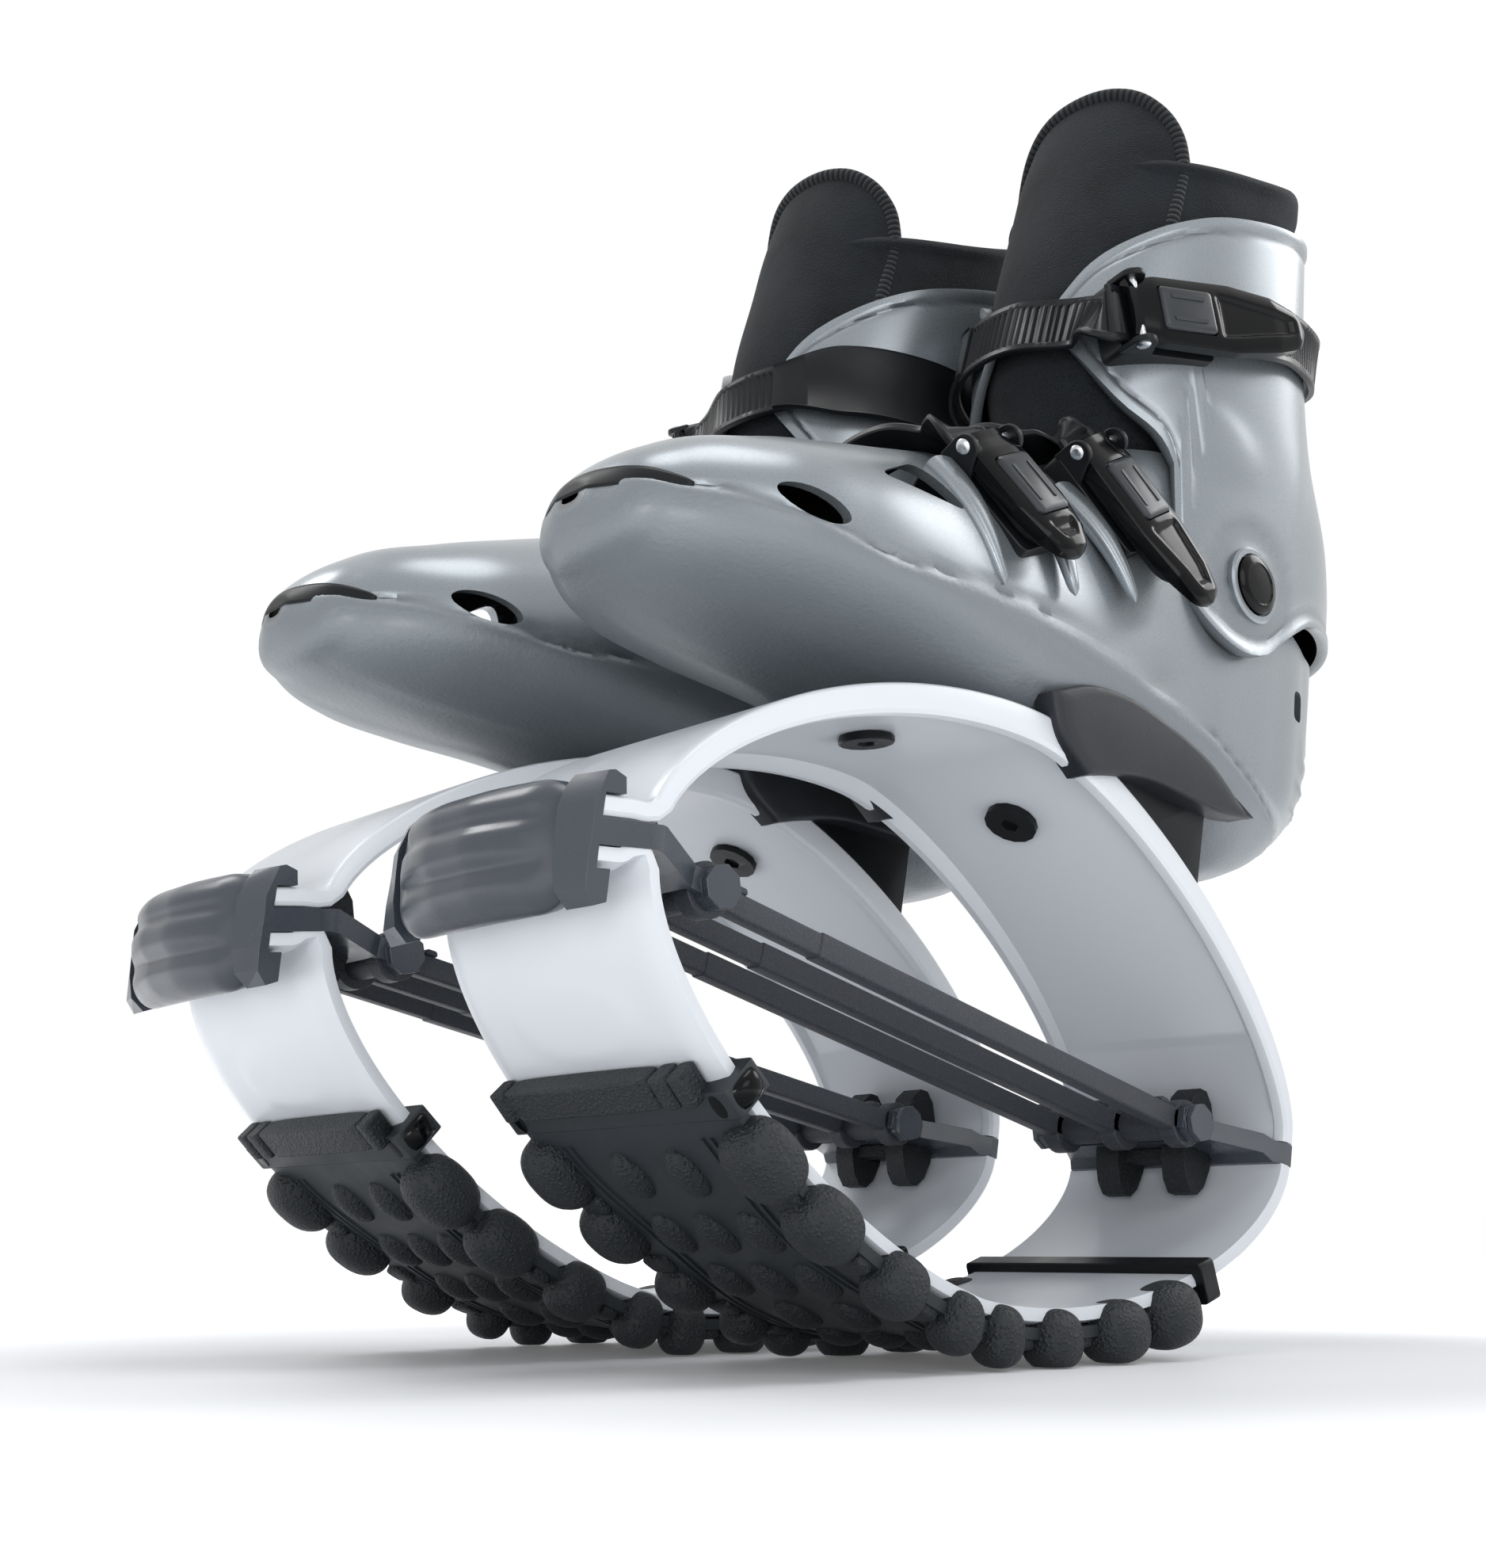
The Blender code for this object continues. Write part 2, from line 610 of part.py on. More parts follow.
def shell_line(rise, power, rear_edge, lip_offset, lip_start):
    """The whole outer line: rear edge, arc, bend and front lip."""
    low_angle = (LIP_BEND_HEIGHT / abs(rise)) ** (power / 2)
    arc = arc_line(rise, power, low_angle, math.pi, SHELL_STEPS)
    start = np.array(hook_point(lip_start, lip_offset))
    end = np.array(hook_point(LIP_END, lip_offset))
    corner = (arc[-1] + start) / 2 + (np.array((arc[-1][0], start[1])) - (arc[-1] + start) / 2) * 0.5
    return np.vstack(([(-SHELL_HALF_LENGTH, rear_edge)], arc, [corner, start, end]))


def upper_line():
    return shell_line(UPPER_RISE, UPPER_POWER, REAR_EDGE_UPPER, UPPER_LIP_TOP, UPPER_LIP_START)


def lower_line():
    return shell_line(-LOWER_DROP, LOWER_POWER, REAR_EDGE_LOWER, LOWER_LIP_BOTTOM, LOWER_LIP_START)


def channel(name, line, inward, wall, rim):
    """A strip of shell width along a line: a wall with a deeper rim along each side."""
    half = SHELL_WIDTH / 2
    inner = half - UPPER_RIM_WIDTH
    flat = inner - UPPER_RIM_SLOPE
    normals = line_normals(line) * inward
    rings = []
    for (x, z), (nx, nz), depth in zip(line, normals, rim):
        section = (
            (-half, 0), (half, 0), (half, depth), (inner, depth), (flat, wall), (-flat, wall), (-inner, depth),
            (-half, depth),
        )
        rings.append([(x + nx * d, y, z + nz * d) for y, d in section])
    return loft(name, rings)


def band(name, line, inward, wall, half):
    """A plain strip along a line."""
    normals = line_normals(line) * inward
    rings = []
    for (x, z), (nx, nz) in zip(line, normals):
        rings.append([(x + nx * d, y, z + nz * d) for y, d in ((-half, 0), (half, 0), (half, wall), (-half, wall))])
    return loft(name, rings)


def circle(radius, centre=(0, 0), count=ROUND, start=0.0, end=2 * math.pi):
    """Points on a circle or, with an end angle, on an arc."""
    whole = end - start >= 2 * math.pi
    angles = np.linspace(start, end, count, endpoint=not whole)
    return [(centre[0] + radius * math.cos(a), centre[1] + radius * math.sin(a)) for a in angles]


def bolt_frame(x):
    """Outer point and outward normal of the upper shell at a bolt."""
    z = arc_height(x, UPPER_RISE, UPPER_POWER)
    ahead = arc_height(x + GAP, UPPER_RISE, UPPER_POWER)
    normal = Vector((z - ahead, 0, GAP)).normalized()
    return Vector((x, 0, z)), normal


def upper_shell():
    line = upper_line()
    share = np.clip(1 - np.abs(line[:, 0]) / SHELL_HALF_LENGTH, 0, 1) ** 0.5
    rim = UPPER_WALL + GAP + (UPPER_RIM_DEPTH - UPPER_WALL) * share
    shell = channel("upper_shell", line, -1, UPPER_WALL, rim)
    for x in BOLT_XS:
        point, normal = bolt_frame(x)
        reach = normal * (UPPER_WALL * 3)
        cut(shell, cylinder("hole", BOLT_SHANK_RADIUS + GAP, point - reach, point + reach))
    return round_front(shell)


def lower_shell():
    return round_front(band("lower_shell", lower_line(), 1, LOWER_WALL, SHELL_WIDTH / 2))


def tread_line(offset):
    """The lower shell's outer line over the tread, moved outwards."""
    reach = math.acos(min(1, (TREAD_REACH / SHELL_HALF_LENGTH) ** (LOWER_POWER / 2)))
    line = arc_line(-LOWER_DROP, LOWER_POWER, reach, math.pi - reach, TREAD_STEPS)
    return line - line_normals(line) * offset


def tread():
    base = band("tread", tread_line(GAP), -1, TREAD_BASE, SHELL_WIDTH / 2)
    line = tread_line(GAP + TREAD_BASE)
    normals = line_normals(line)
    half = SHELL_WIDTH / 2

    def lug(share, y, length, width, height, across, around):
        x = share * TREAD_REACH
        place = np.array([np.interp(x, line[:, 0], line[:, 1]), *[np.interp(x, line[:, 0], n) for n in normals.T]])
        outward = Vector((-place[1], 0, -place[2])).normalized()
        along = Vector((outward.z, 0, -outward.x))
        centre = Vector((x, y, place[0]))
        across_y = Vector((0, 1, 0))
        body = ball("lug", centre, (along, across_y, outward), (length, width, height), across, around)
        frame = Matrix.Translation(centre) @ Matrix((along, across_y, outward)).transposed().to_4x4()
        if abs(y) < SIDE_LUG_Y:
            return body
        room = half + GAP - y if y > 0 else half + GAP + y
        low, high = (-OVERRUN, room) if y > 0 else (-room, OVERRUN)
        return cut(body, box("room", (-OVERRUN, low, -OVERRUN), (OVERRUN, high, -TREAD_BASE / 2), frame))

    join(base, *tread_clips())
    for share, size, tall in SIDE_LUG_SHARES:
        for side in (-1, 1):
            radii = (SIDE_LUG_LENGTH * size, SIDE_LUG_WIDTH * size**0.5, SIDE_LUG_HEIGHT * tall)
            join(base, lug(share, side * SIDE_LUG_Y, *radii, 4, 7))
    for share, places in MIDDLE_ROW_SHARES:
        for place in places:
            y = place * half
            join(base, lug(share, y, MIDDLE_LUG_LENGTH, MIDDLE_LUG_WIDTH, MIDDLE_LUG_HEIGHT, 4, 6))
    return base


def clip_frame(x):
    """Matrix at the lower shell: along it towards the toe, across it, and outwards."""
    z = arc_height(x, -LOWER_DROP, LOWER_POWER)
    ahead = arc_height(x + GAP, -LOWER_DROP, LOWER_POWER)
    along = Vector((GAP, 0, ahead - z)).normalized()
    outward = Vector((along.z, 0, -along.x))
    across = Vector((0, 1, 0))
    turn = Matrix((along, across, outward)).transposed().to_4x4()
    return Matrix.Translation((x, 0, z)) @ turn


def clip_ring(name, x, length):
    """A band round the lower shell with a running clearance."""
    frame = clip_frame(x)
    half = SHELL_WIDTH / 2 + CLIP_CLEARANCE
    deep = LOWER_WALL + CLIP_CLEARANCE
    outer = box(
        name,
        (-length / 2, -half - CLIP_WALL, -deep - CLIP_WALL),
        (length / 2, half + CLIP_WALL, CLIP_CLEARANCE + CLIP_WALL),
        frame,
    )
    inner = box("inner", (-length, -half, -deep), (length, half, CLIP_CLEARANCE), frame)
    return cut(outer, inner)


def tread_clips():
    """Front band with its bumper block, and rear band."""
    front = clip_ring("front", FRONT_CLIP_X, FRONT_CLIP_LENGTH)
    frame = clip_frame(FRONT_CLIP_X)
    half = SHELL_WIDTH / 2 - BUMPER_EDGE
    rise = CLIP_CLEARANCE + BUMPER_DEPTH
    block = box(
        "block",
        (FRONT_CLIP_LENGTH / 2 - CLIP_WALL, -half, CLIP_CLEARANCE),
        (FRONT_CLIP_LENGTH / 2 + BUMPER_LENGTH, half, rise),
        frame,
    )
    join(front, block)
    rear = clip_ring("rear", REAR_CLIP_X, REAR_CLIP_LENGTH)
    return front, rear


def arm_outer_y():
    return STRAP_SPACING + STRAP_WIDTH / 2 + GAP + ARM_WIDTH


def pin(name, x):
    """A cross pin with a round head at each end."""
    reach = arm_outer_y() + GAP
    shaft = cylinder(name, PIN_RADIUS, (x, -reach - PIN_HEAD_THICKNESS / 2, 0), (x, reach + PIN_HEAD_THICKNESS / 2, 0))
    for side in (-1, 1):
        head = cylinder(
            "head", PIN_HEAD_RADIUS, (x, side * reach, 0), (x, side * (reach + PIN_HEAD_THICKNESS), 0)
        )
        join(shaft, head)
    return shaft


def tension_straps():
    """Three straps between the pins, moulded on a sleeve round each pin."""
    eye = PIN_RADIUS + GAP + STRAP_EYE_WALL
    meet = math.asin(STRAP_HEIGHT / 2 / eye)
    outline = circle(eye, (PIN_X, 0), 7, meet - math.pi, math.pi - meet)
    outline += circle(eye, (-PIN_X, 0), 7, meet, 2 * math.pi - meet)
    half = STRAP_SPACING + STRAP_WIDTH / 2
    straps = []
    for place in (-1, 0, 1):
        y = place * STRAP_SPACING
        straps.append(side_plate("strap", [outline], y - STRAP_WIDTH / 2, y + STRAP_WIDTH / 2))
    middle = straps.pop(1)
    middle.name = "tension_straps"
    for x in (-PIN_X, PIN_X):
        join(middle, cylinder("sleeve", PIN_RADIUS + GAP + STRAP_SLEEVE_WALL, (x, -half, 0), (x, half, 0)))
    join(middle, *straps)
    for x in (-PIN_X, PIN_X):
        cut(middle, cylinder("bore", PIN_RADIUS + GAP, (x, -OVERRUN, 0), (x, OVERRUN, 0)))
    return middle


def holder_plan(end_x, end_y):
    """Plan outline of a holder: two arms round the strap bay, splayed out to the end."""
    eye = PIN_RADIUS + GAP + STRAP_EYE_WALL
    bay = PIN_X + eye + HOLDER_BAY_END
    inner = STRAP_SPACING + STRAP_WIDTH / 2 + GAP * 2
    outer = arm_outer_y() - GAP
    tip = PIN_X - ARM_BOSS_RADIUS - GAP
    half = [(bay, inner), (tip, inner), (tip, outer), (bay, outer), (HOLDER_SPLAY_X, end_y), (end_x, end_y)]
    return half[::-1] + [(x, -y) for x, y in half]


def disc_outline(grow=0.0):
    """Side outline of a bumper: an ellipse with a flat top and foot."""
    points = []
    for angle in np.linspace(0, 2 * math.pi, ROUND, endpoint=False):
        x = (BUMPER_DISC_HALF_LENGTH + grow) * math.cos(angle)
        z = (BUMPER_DISC_HALF_HEIGHT + grow) * math.sin(angle)
        points.append((BUMPER_DISC_X + x, z))
    return points


def mirror_x(thing):
    """Turns a front piece into a rear one."""
    shape = bmesh.new()
    shape.from_mesh(thing.data)
    bmesh.ops.scale(shape, vec=(-1, 1, 1), verts=shape.verts)
    face_outwards(shape)
    shape.to_mesh(thing.data)
    shape.free()
    return thing


def bumpers(name):
    """Two rubber discs that stand through the holder, on a foot below it."""
    top = -ARM_THICKNESS / 2 - GAP
    foot = box(
        name,
        (BUMPER_DISC_X - BUMPER_FOOT_LENGTH / 2, -BUMPER_DISC_Y, top - BUMPER_FOOT_THICKNESS),
        (BUMPER_DISC_X, BUMPER_DISC_Y, top),
    )
    for side in (-1, 1):
        y = side * BUMPER_DISC_Y
        half = BUMPER_DISC_THICKNESS / 2
        join(foot, side_plate("disc", [disc_outline()], y - half, y + half))
    return foot


def cut_holder(holder):
    """Takes the pin bore and the bumper slots out of a front holder."""
    cut(holder, cylinder("bore", PIN_RADIUS + GAP, (PIN_X, -OVERRUN, 0), (PIN_X, OVERRUN, 0)))
    for side in (-1, 1):
        y = side * BUMPER_DISC_Y
        half = BUMPER_DISC_THICKNESS / 2 + GAP
        cut(holder, side_plate("slot", [disc_outline(GAP)], y - half, y + half))
    return holder


def boss_rings():
    """A round boss on each arm, at the pin."""
    inner = STRAP_SPACING + STRAP_WIDTH / 2 + GAP
    return [
        cylinder("boss", ARM_BOSS_RADIUS, (PIN_X, side * inner, 0), (PIN_X, side * arm_outer_y(), 0))
        for side in (-1, 1)
    ]


def hook_outline(inner):
    """Outer outline of the front housing in the hook frame, closed by its inner points."""
    return [hook_point(u, v) for u, v in (*HOOK_OUTLINE, *inner)]


def lip_slots():
    """Bounds of the two slots for the shells' lips: bottom and top of each."""
    upper = (UPPER_LIP_TOP - UPPER_WALL - GAP * 2, UPPER_LIP_TOP + GAP)
    lower = (LOWER_LIP_BOTTOM - GAP, LOWER_LIP_BOTTOM + LOWER_WALL + GAP)
    return upper, lower


def round_front(thing):
    """Moves the front of a piece back towards both sides, as the housing is rounded in plan."""
    start = HOOK_X - HOUSING_ROUND_REACH
    across, falls = zip(*HOUSING_ROUND_SHARES)
    for vertex in thing.data.vertices:
        ahead = min(max((vertex.co.x - start) / HOUSING_DEPTH, 0), 1)
        fall = np.interp(abs(vertex.co.y) / (SHELL_WIDTH / 2), across, falls)
        move = HOUSING_ROUND * fall * ahead**2
        vertex.co.x -= move * math.cos(HOOK_TILT)
        vertex.co.z -= move * math.sin(HOOK_TILT)
    thing.data.update()
    return thing


def housing_slice(name, outline, low_y, high_y):
    """An outline carried across in steps, so that its front can be rounded in plan."""
    places = sorted({side * share * SHELL_WIDTH / 2 for share, _ in HOUSING_ROUND_SHARES for side in (-1, 1)})
    inside = [y for y in places if low_y + GAP < y < high_y - GAP]
    return loft(name, [[(x, y, z) for x, z in outline] for y in [low_y, *inside, high_y]])


def front_holder():
    """Arms, web and a C-shaped hook at each side."""
    (upper_low, upper_high), (lower_low, lower_high) = lip_slots()
    web_low, web_high = lower_high + GAP / 2, upper_low - GAP / 2
    back_top = hook_point(WEB_START, web_high)
    back_low = hook_point(WEB_START, web_low)
    half = ARM_THICKNESS / 2
    tip = PIN_X - ARM_BOSS_RADIUS - GAP * 2
    web = [
        (tip, half), (back_top[0] - WEB_THICKNESS, half), back_top, hook_point(WEB_END, web_high),
        hook_point(WEB_END, web_low), back_low, (back_low[0] - WEB_THICKNESS, -half), (tip, -half),
    ]
    end_y = SHELL_WIDTH / 2 + HOOK_OVERHANG
    holder = side_plate("front_holder", [web], -OVERRUN, OVERRUN)
    combine(holder, top_plate("plan", [holder_plan(HOOK_X + OVERRUN, end_y - GAP)], -OVERRUN, OVERRUN), "INTERSECT")
    hook = hook_outline((
        (HOOK_LOW_BACK, lower_low), (LIP_END + GAP, lower_low), (LIP_END + GAP, lower_high), (WEB_START, lower_high),
        (WEB_START, upper_low), (LIP_END + GAP, upper_low), (LIP_END + GAP, upper_high),
        (HOOK_TOP_BACK, upper_high),
    ))
    for side in (-1, 1):
        low, high = sorted((side * (end_y - HOOK_WIDTH), side * end_y))
        join(holder, side_plate("hook", [hook], low, high))
    join(holder, *boss_rings())
    return round_front(cut_holder(holder))


def front_cap():
    """The ridged housing over both lips, between the side hooks."""
    (_, upper_high), (lower_low, _) = lip_slots()
    outline = hook_outline((
        (HOOK_LOW_BACK, lower_low), (WEB_END + GAP, lower_low), (WEB_END + GAP, upper_high),
        (HOOK_TOP_BACK, upper_high),
    ))
    half = SHELL_WIDTH / 2 + HOOK_OVERHANG - HOOK_WIDTH - GAP
    return round_front(housing_slice("front_cap", outline, -half, half))


def rear_holder():
    """The same arms, with a plain web between the shells' rear edges."""
    half = ARM_THICKNESS / 2
    tip = PIN_X - ARM_BOSS_RADIUS - GAP * 2
    low = REAR_EDGE_LOWER + GAP
    high = REAR_EDGE_UPPER - GAP
    bend = REAR_HOLDER_END - SHELL_HALF_LENGTH + HOLDER_SPLAY_X - WEB_THICKNESS / 2
    web = [(tip, half), (bend - WEB_THICKNESS / 2, half), (bend, high), (REAR_HOLDER_END, high),
           (REAR_HOLDER_END, low), (bend, low), (bend - WEB_THICKNESS / 2, -half), (tip, -half)]
    holder = side_plate("rear_holder", [web], -OVERRUN, OVERRUN)
    plan = top_plate("plan", [holder_plan(REAR_HOLDER_END + OVERRUN, SHELL_WIDTH / 2 - GAP)], -OVERRUN, OVERRUN)
    combine(holder, plan, "INTERSECT")
    join(holder, *boss_rings())
    return mirror_x(cut_holder(holder))


def rear_cap():
    """A slim strip behind the rear edges of both shells."""
    front = -SHELL_HALF_LENGTH - GAP * 2
    middle = (REAR_EDGE_UPPER + REAR_EDGE_LOWER) / 2
    half = REAR_CAP_HEIGHT / 2
    lean = REAR_CAP_WALL / 4
    outline = [
        (front, middle - half), (front, middle + half), (front - REAR_CAP_WALL / 2, middle + half),
        (front - REAR_CAP_WALL, middle + half / 2), (front - REAR_CAP_WALL - lean, middle),
        (front - REAR_CAP_WALL, middle - half / 2), (front - REAR_CAP_WALL / 2, middle - half),
    ]
    return side_plate("rear_cap", [outline], -REAR_CAP_WIDTH / 2, REAR_CAP_WIDTH / 2)


def foot_height(share):
    return FOOT_SOLE_Z + share * FOOT_HEIGHT


def foot_x(share):
    return FOOT_HEEL_X + share * FOOT_LENGTH


def foot_body(name, inset, floor=False, sides=FOOT_SIDES, every=1):
    """The boot's body, moved inwards by an inset. With a floor its sole is the inner floor."""
    middle = FOOT_HEEL_X + FOOT_LENGTH / 2
    angles = np.linspace(0, 2 * math.pi, sides, endpoint=False)
    rings = []
    for along, sole, inside, widest, top, half, power in FOOT_STATION_SHARES[::every]:
        x = middle + (foot_x(along) - middle) * (1 - 2 * inset / FOOT_LENGTH)
        bottom = foot_height(inside) + inset - FOOT_WALL if floor else foot_height(sole) + inset
        centre = foot_height(widest)
        bottom = min(bottom, centre - GAP)
        high = max(foot_height(top) - inset, centre + GAP)
        width = max(half * FOOT_WIDTH / 2 - inset, GAP)
        c, s = power_pair(angles, power)
        c_low, s_low = power_pair(angles, FOOT_LOWER_POWER)
        ring = []
        for k in range(len(angles)):
            if s[k] >= 0:
                ring.append((x, width * c[k], centre + (high - centre) * s[k]))
            else:
                ring.append((x, width * c_low[k], centre + (centre - bottom) * s_low[k]))
        rings.append(ring)
    return loft(name, rings)


def foot_skin(degrees, x, clearance):
    """A point this far off the boot's upper side, at an angle from the outer side up, and the way out."""
    table = np.array(FOOT_STATION_SHARES)
    share = (x - FOOT_HEEL_X) / FOOT_LENGTH
    widest, top, half, power = [np.interp(share, table[:, 0], table[:, k]) for k in (3, 4, 5, 6)]
    c, s = power_pair(np.array([math.radians(degrees)]), power)
    y = half * FOOT_WIDTH / 2 * c[0]
    rise = (top - widest) * FOOT_HEIGHT
    z = foot_height(widest) + rise * s[0]
    across = abs(y) ** (power - 1) / (half * FOOT_WIDTH / 2) ** power
    up = abs(rise * s[0]) ** (power - 1) / rise**power
    size = math.hypot(across, up)
    out = Vector((0, math.copysign(across / size, y), up / size))
    return Vector((x, y, z)) + out * clearance, out


def skin_plate(name, outline, side):
    """A thin plate that hugs one side of the boot, inside a side outline."""
    skin = foot_body(name, -GAP - SKIN_PLATE)
    low_y, high_y = sorted((side * FOOT_WIDTH / 8, side * FOOT_WIDTH))
    return combine(skin, side_plate("outline", [outline], low_y, high_y), "INTERSECT")


def shell_room(name, clearance):
    """The room under the upper shell's outer line, for cutting what sits on it."""
    line = arc_line(UPPER_RISE, UPPER_POWER, 0.1, math.pi - 0.1, SHELL_STEPS)
    line = line + line_normals(line) * clearance
    outline = [tuple(point) for point in line]
    outline += [(line[-1][0], line[-1][1] - OVERRUN * 3), (line[0][0], line[0][1] - OVERRUN * 3)]
    return side_plate(name, [outline], -OVERRUN * 2, OVERRUN * 2)


def rim_room(name):
    """Everything above the rim of the ankle opening."""
    points = [(foot_x(a), foot_height(h)) for a, h in FOOT_RIM_SHARES]
    high = foot_height(2)
    outline = points + [(points[-1][0], high), (points[0][0], high)]
    return side_plate(name, [outline], -OVERRUN * 2, OVERRUN * 2)


def rivet_cutter(radius):
    reach = FOOT_WIDTH
    return cylinder("rivet_room", radius, (PIVOT_X, -reach, PIVOT_Z), (PIVOT_X, reach, PIVOT_Z))


def oval(name, along, height, length, tall, low_y, high_y):
    """A flattened oval cutter that runs across the boot."""
    x = foot_x(along)
    z = foot_height(height)
    loop = [
        (x + length / 2 * math.cos(a), z + tall / 2 * math.sin(a))
        for a in np.linspace(math.pi / ROUND, 2 * math.pi + math.pi / ROUND, ROUND, endpoint=False)
    ]
    return side_plate(name, [loop], low_y, high_y)


def foot_shell():
    shell = foot_body("foot_shell", 0)
    cut(shell, foot_body("cavity", FOOT_WALL, floor=True))
    for side in (-1, 1):
        low_y, high_y = sorted((side * THROAT_WIDTH * 0.6, side * FOOT_WIDTH))
        for vent in (
            (SIDE_VENT_SHARE, SIDE_VENT_HEIGHT_SHARE, SIDE_VENT_LENGTH, SIDE_VENT_HEIGHT),
            (UPPER_VENT_SHARE, UPPER_VENT_HEIGHT_SHARE, UPPER_VENT_LENGTH, UPPER_VENT_HEIGHT),
        ):
            cut(shell, oval("vent", *vent, low_y, high_y))
    slot_z = foot_height(TOE_SLOT_HEIGHT_SHARE)
    toe = foot_x(1)
    cut(shell, box("toe_slot", (toe - TOE_SLOT_DEPTH, -TOE_SLOT_HALF_WIDTH, slot_z - TOE_SLOT_HEIGHT / 2),
                   (toe + OVERRUN, TOE_SLOT_HALF_WIDTH, slot_z + TOE_SLOT_HEIGHT / 2)))
    cut(shell, rivet_cutter(RIVET_SHANK_RADIUS + GAP), rim_room("rim"), shell_room("room", GAP))
    start, end = foot_x(THROAT_START_SHARE), foot_x(THROAT_END_SHARE)
    half = THROAT_WIDTH / 2
    throat = [(start, -half)]
    throat += circle(half, (end - half, 0), 9, -math.pi / 2, math.pi / 2)
    throat += [(start, half)]
    low = foot_height(THROAT_LOW_SHARE)
    return cut(shell, top_plate("throat", [throat], low, foot_height(2)))


def heel_pad():
    """Rubber between the heel and the upper shell, with a fin up each side."""
    high = PAD_TOP_Z
    block = box("heel_pad", (PAD_REAR_X, -PAD_HALF_WIDTH, SHELL_END_HEIGHT), (PAD_FRONT_X, PAD_HALF_WIDTH, high))
    low = arc_height(PAD_FRONT_X, UPPER_RISE, UPPER_POWER)
    length = PAD_FRONT_X - PAD_REAR_X
    tall = PAD_TOP_Z - low
    fin = [(PAD_FRONT_X - a * length, low + h * tall) for a, h in PAD_FIN_SHARES]
    for side in (-1, 1):
        low_y, high_y = sorted((side * PAD_FIN_INSIDE, side * PAD_FIN_HALF_WIDTH))
        join(block, side_plate("fin", [fin], low_y, high_y))
    cut(block, foot_body("foot", -GAP), shell_room("room", GAP))
    return block


def shell_bolt(name, x):
    """A socket bolt from inside the upper shell."""
    point, normal = bolt_frame(x)
    inside = point - normal * (UPPER_WALL + GAP)
    end = inside - normal * BOLT_HEAD_THICKNESS
    bolt = cylinder(name, BOLT_HEAD_RADIUS, inside, end, ROUND)
    join(bolt, cylinder("shank", BOLT_SHANK_RADIUS, inside - normal * GAP, point, 12))
    return cut(bolt, cylinder("socket", BOLT_SOCKET_RADIUS, end + normal * BOLT_SOCKET_DEPTH, end - normal * GAP, 6))


def leg_tube(name, shares, base_z, height, rear_x, length, width, power, inset, extra=0.0):
    """A leg-shaped tube through rings given as shares, moved inwards by an inset."""
    angles = np.linspace(0, 2 * math.pi, LEG_SIDES, endpoint=False)
    c, s = power_pair(angles, power)
    rings = []
    for k, (up, rear, front, half) in enumerate(shares):
        z = base_z + up * height
        if k == 0:
            z -= extra
        if k == len(shares) - 1:
            z += extra
        back = rear_x + rear * length + inset
        ahead = rear_x + front * length - inset
        middle = (back + ahead) / 2
        rings.append([(middle + (ahead - back) / 2 * a, (half * width / 2 - inset) * b, z) for a, b in zip(c, s)])
    return loft(name, rings)


def cuff_tube(name, inset, extra=0.0):
    return leg_tube(name, CUFF_RING_SHARES, CUFF_BASE_Z, CUFF_HEIGHT, CUFF_REAR_X, CUFF_LENGTH, CUFF_WIDTH,
                    CUFF_POWER, inset, extra)


def cuff():
    wall = cuff_tube("cuff", 0)
    cut(wall, cuff_tube("inside", CUFF_WALL, GAP))
    outline = [(CUFF_REAR_X + a * CUFF_LENGTH, CUFF_BASE_Z + h * CUFF_HEIGHT) for a, h in CUFF_OUTLINE_SHARES]
    combine(wall, side_plate("outline", [outline], -CUFF_WIDTH, CUFF_WIDTH), "INTERSECT")
    cut(wall, foot_body("foot", -CUFF_FOOT_CLEARANCE), rivet_cutter(RIVET_SHANK_RADIUS + GAP))
    return wall


def cuff_rivet(name, side):
    """An ankle pivot: a black cap outside the cuff and a shank into the foot shell."""
    face = CUFF_WIDTH / 2 * CUFF_RING_SHARES[1][3] + GAP
    inside = FOOT_WIDTH / 2 * FOOT_STATION_SHARES[4][5] - FOOT_WALL - RIVET_SHANK_END
    head = cylinder(name, RIVET_HEAD_RADIUS, (PIVOT_X, side * face, PIVOT_Z),
                    (PIVOT_X, side * (face + RIVET_HEAD_THICKNESS), PIVOT_Z), ROUND)
    shank = cylinder("shank", RIVET_SHANK_RADIUS, (PIVOT_X, side * inside, PIVOT_Z),
                     (PIVOT_X, side * (face + GAP), PIVOT_Z))
    return join(head, shank)


def liner_tube(name, inset, extra=0.0):
    return leg_tube(name, LINER_RING_SHARES, LINER_BASE_Z, LINER_HEIGHT, LINER_REAR_X, LINER_LENGTH, LINER_WIDTH,
                    LINER_POWER, inset, extra)


def above_liner():
    """Everything above the liner's collar line, behind the tongue."""
    points = [(LINER_REAR_X + a * LINER_LENGTH, LINER_BASE_Z + h * LINER_HEIGHT) for a, h in LINER_TOP_SHARES]
    high = LINER_BASE_Z + LINER_HEIGHT + OVERRUN
    return side_plate("above", [points + [(points[-1][0], high), (points[0][0], high)]], -LINER_WIDTH, LINER_WIDTH)


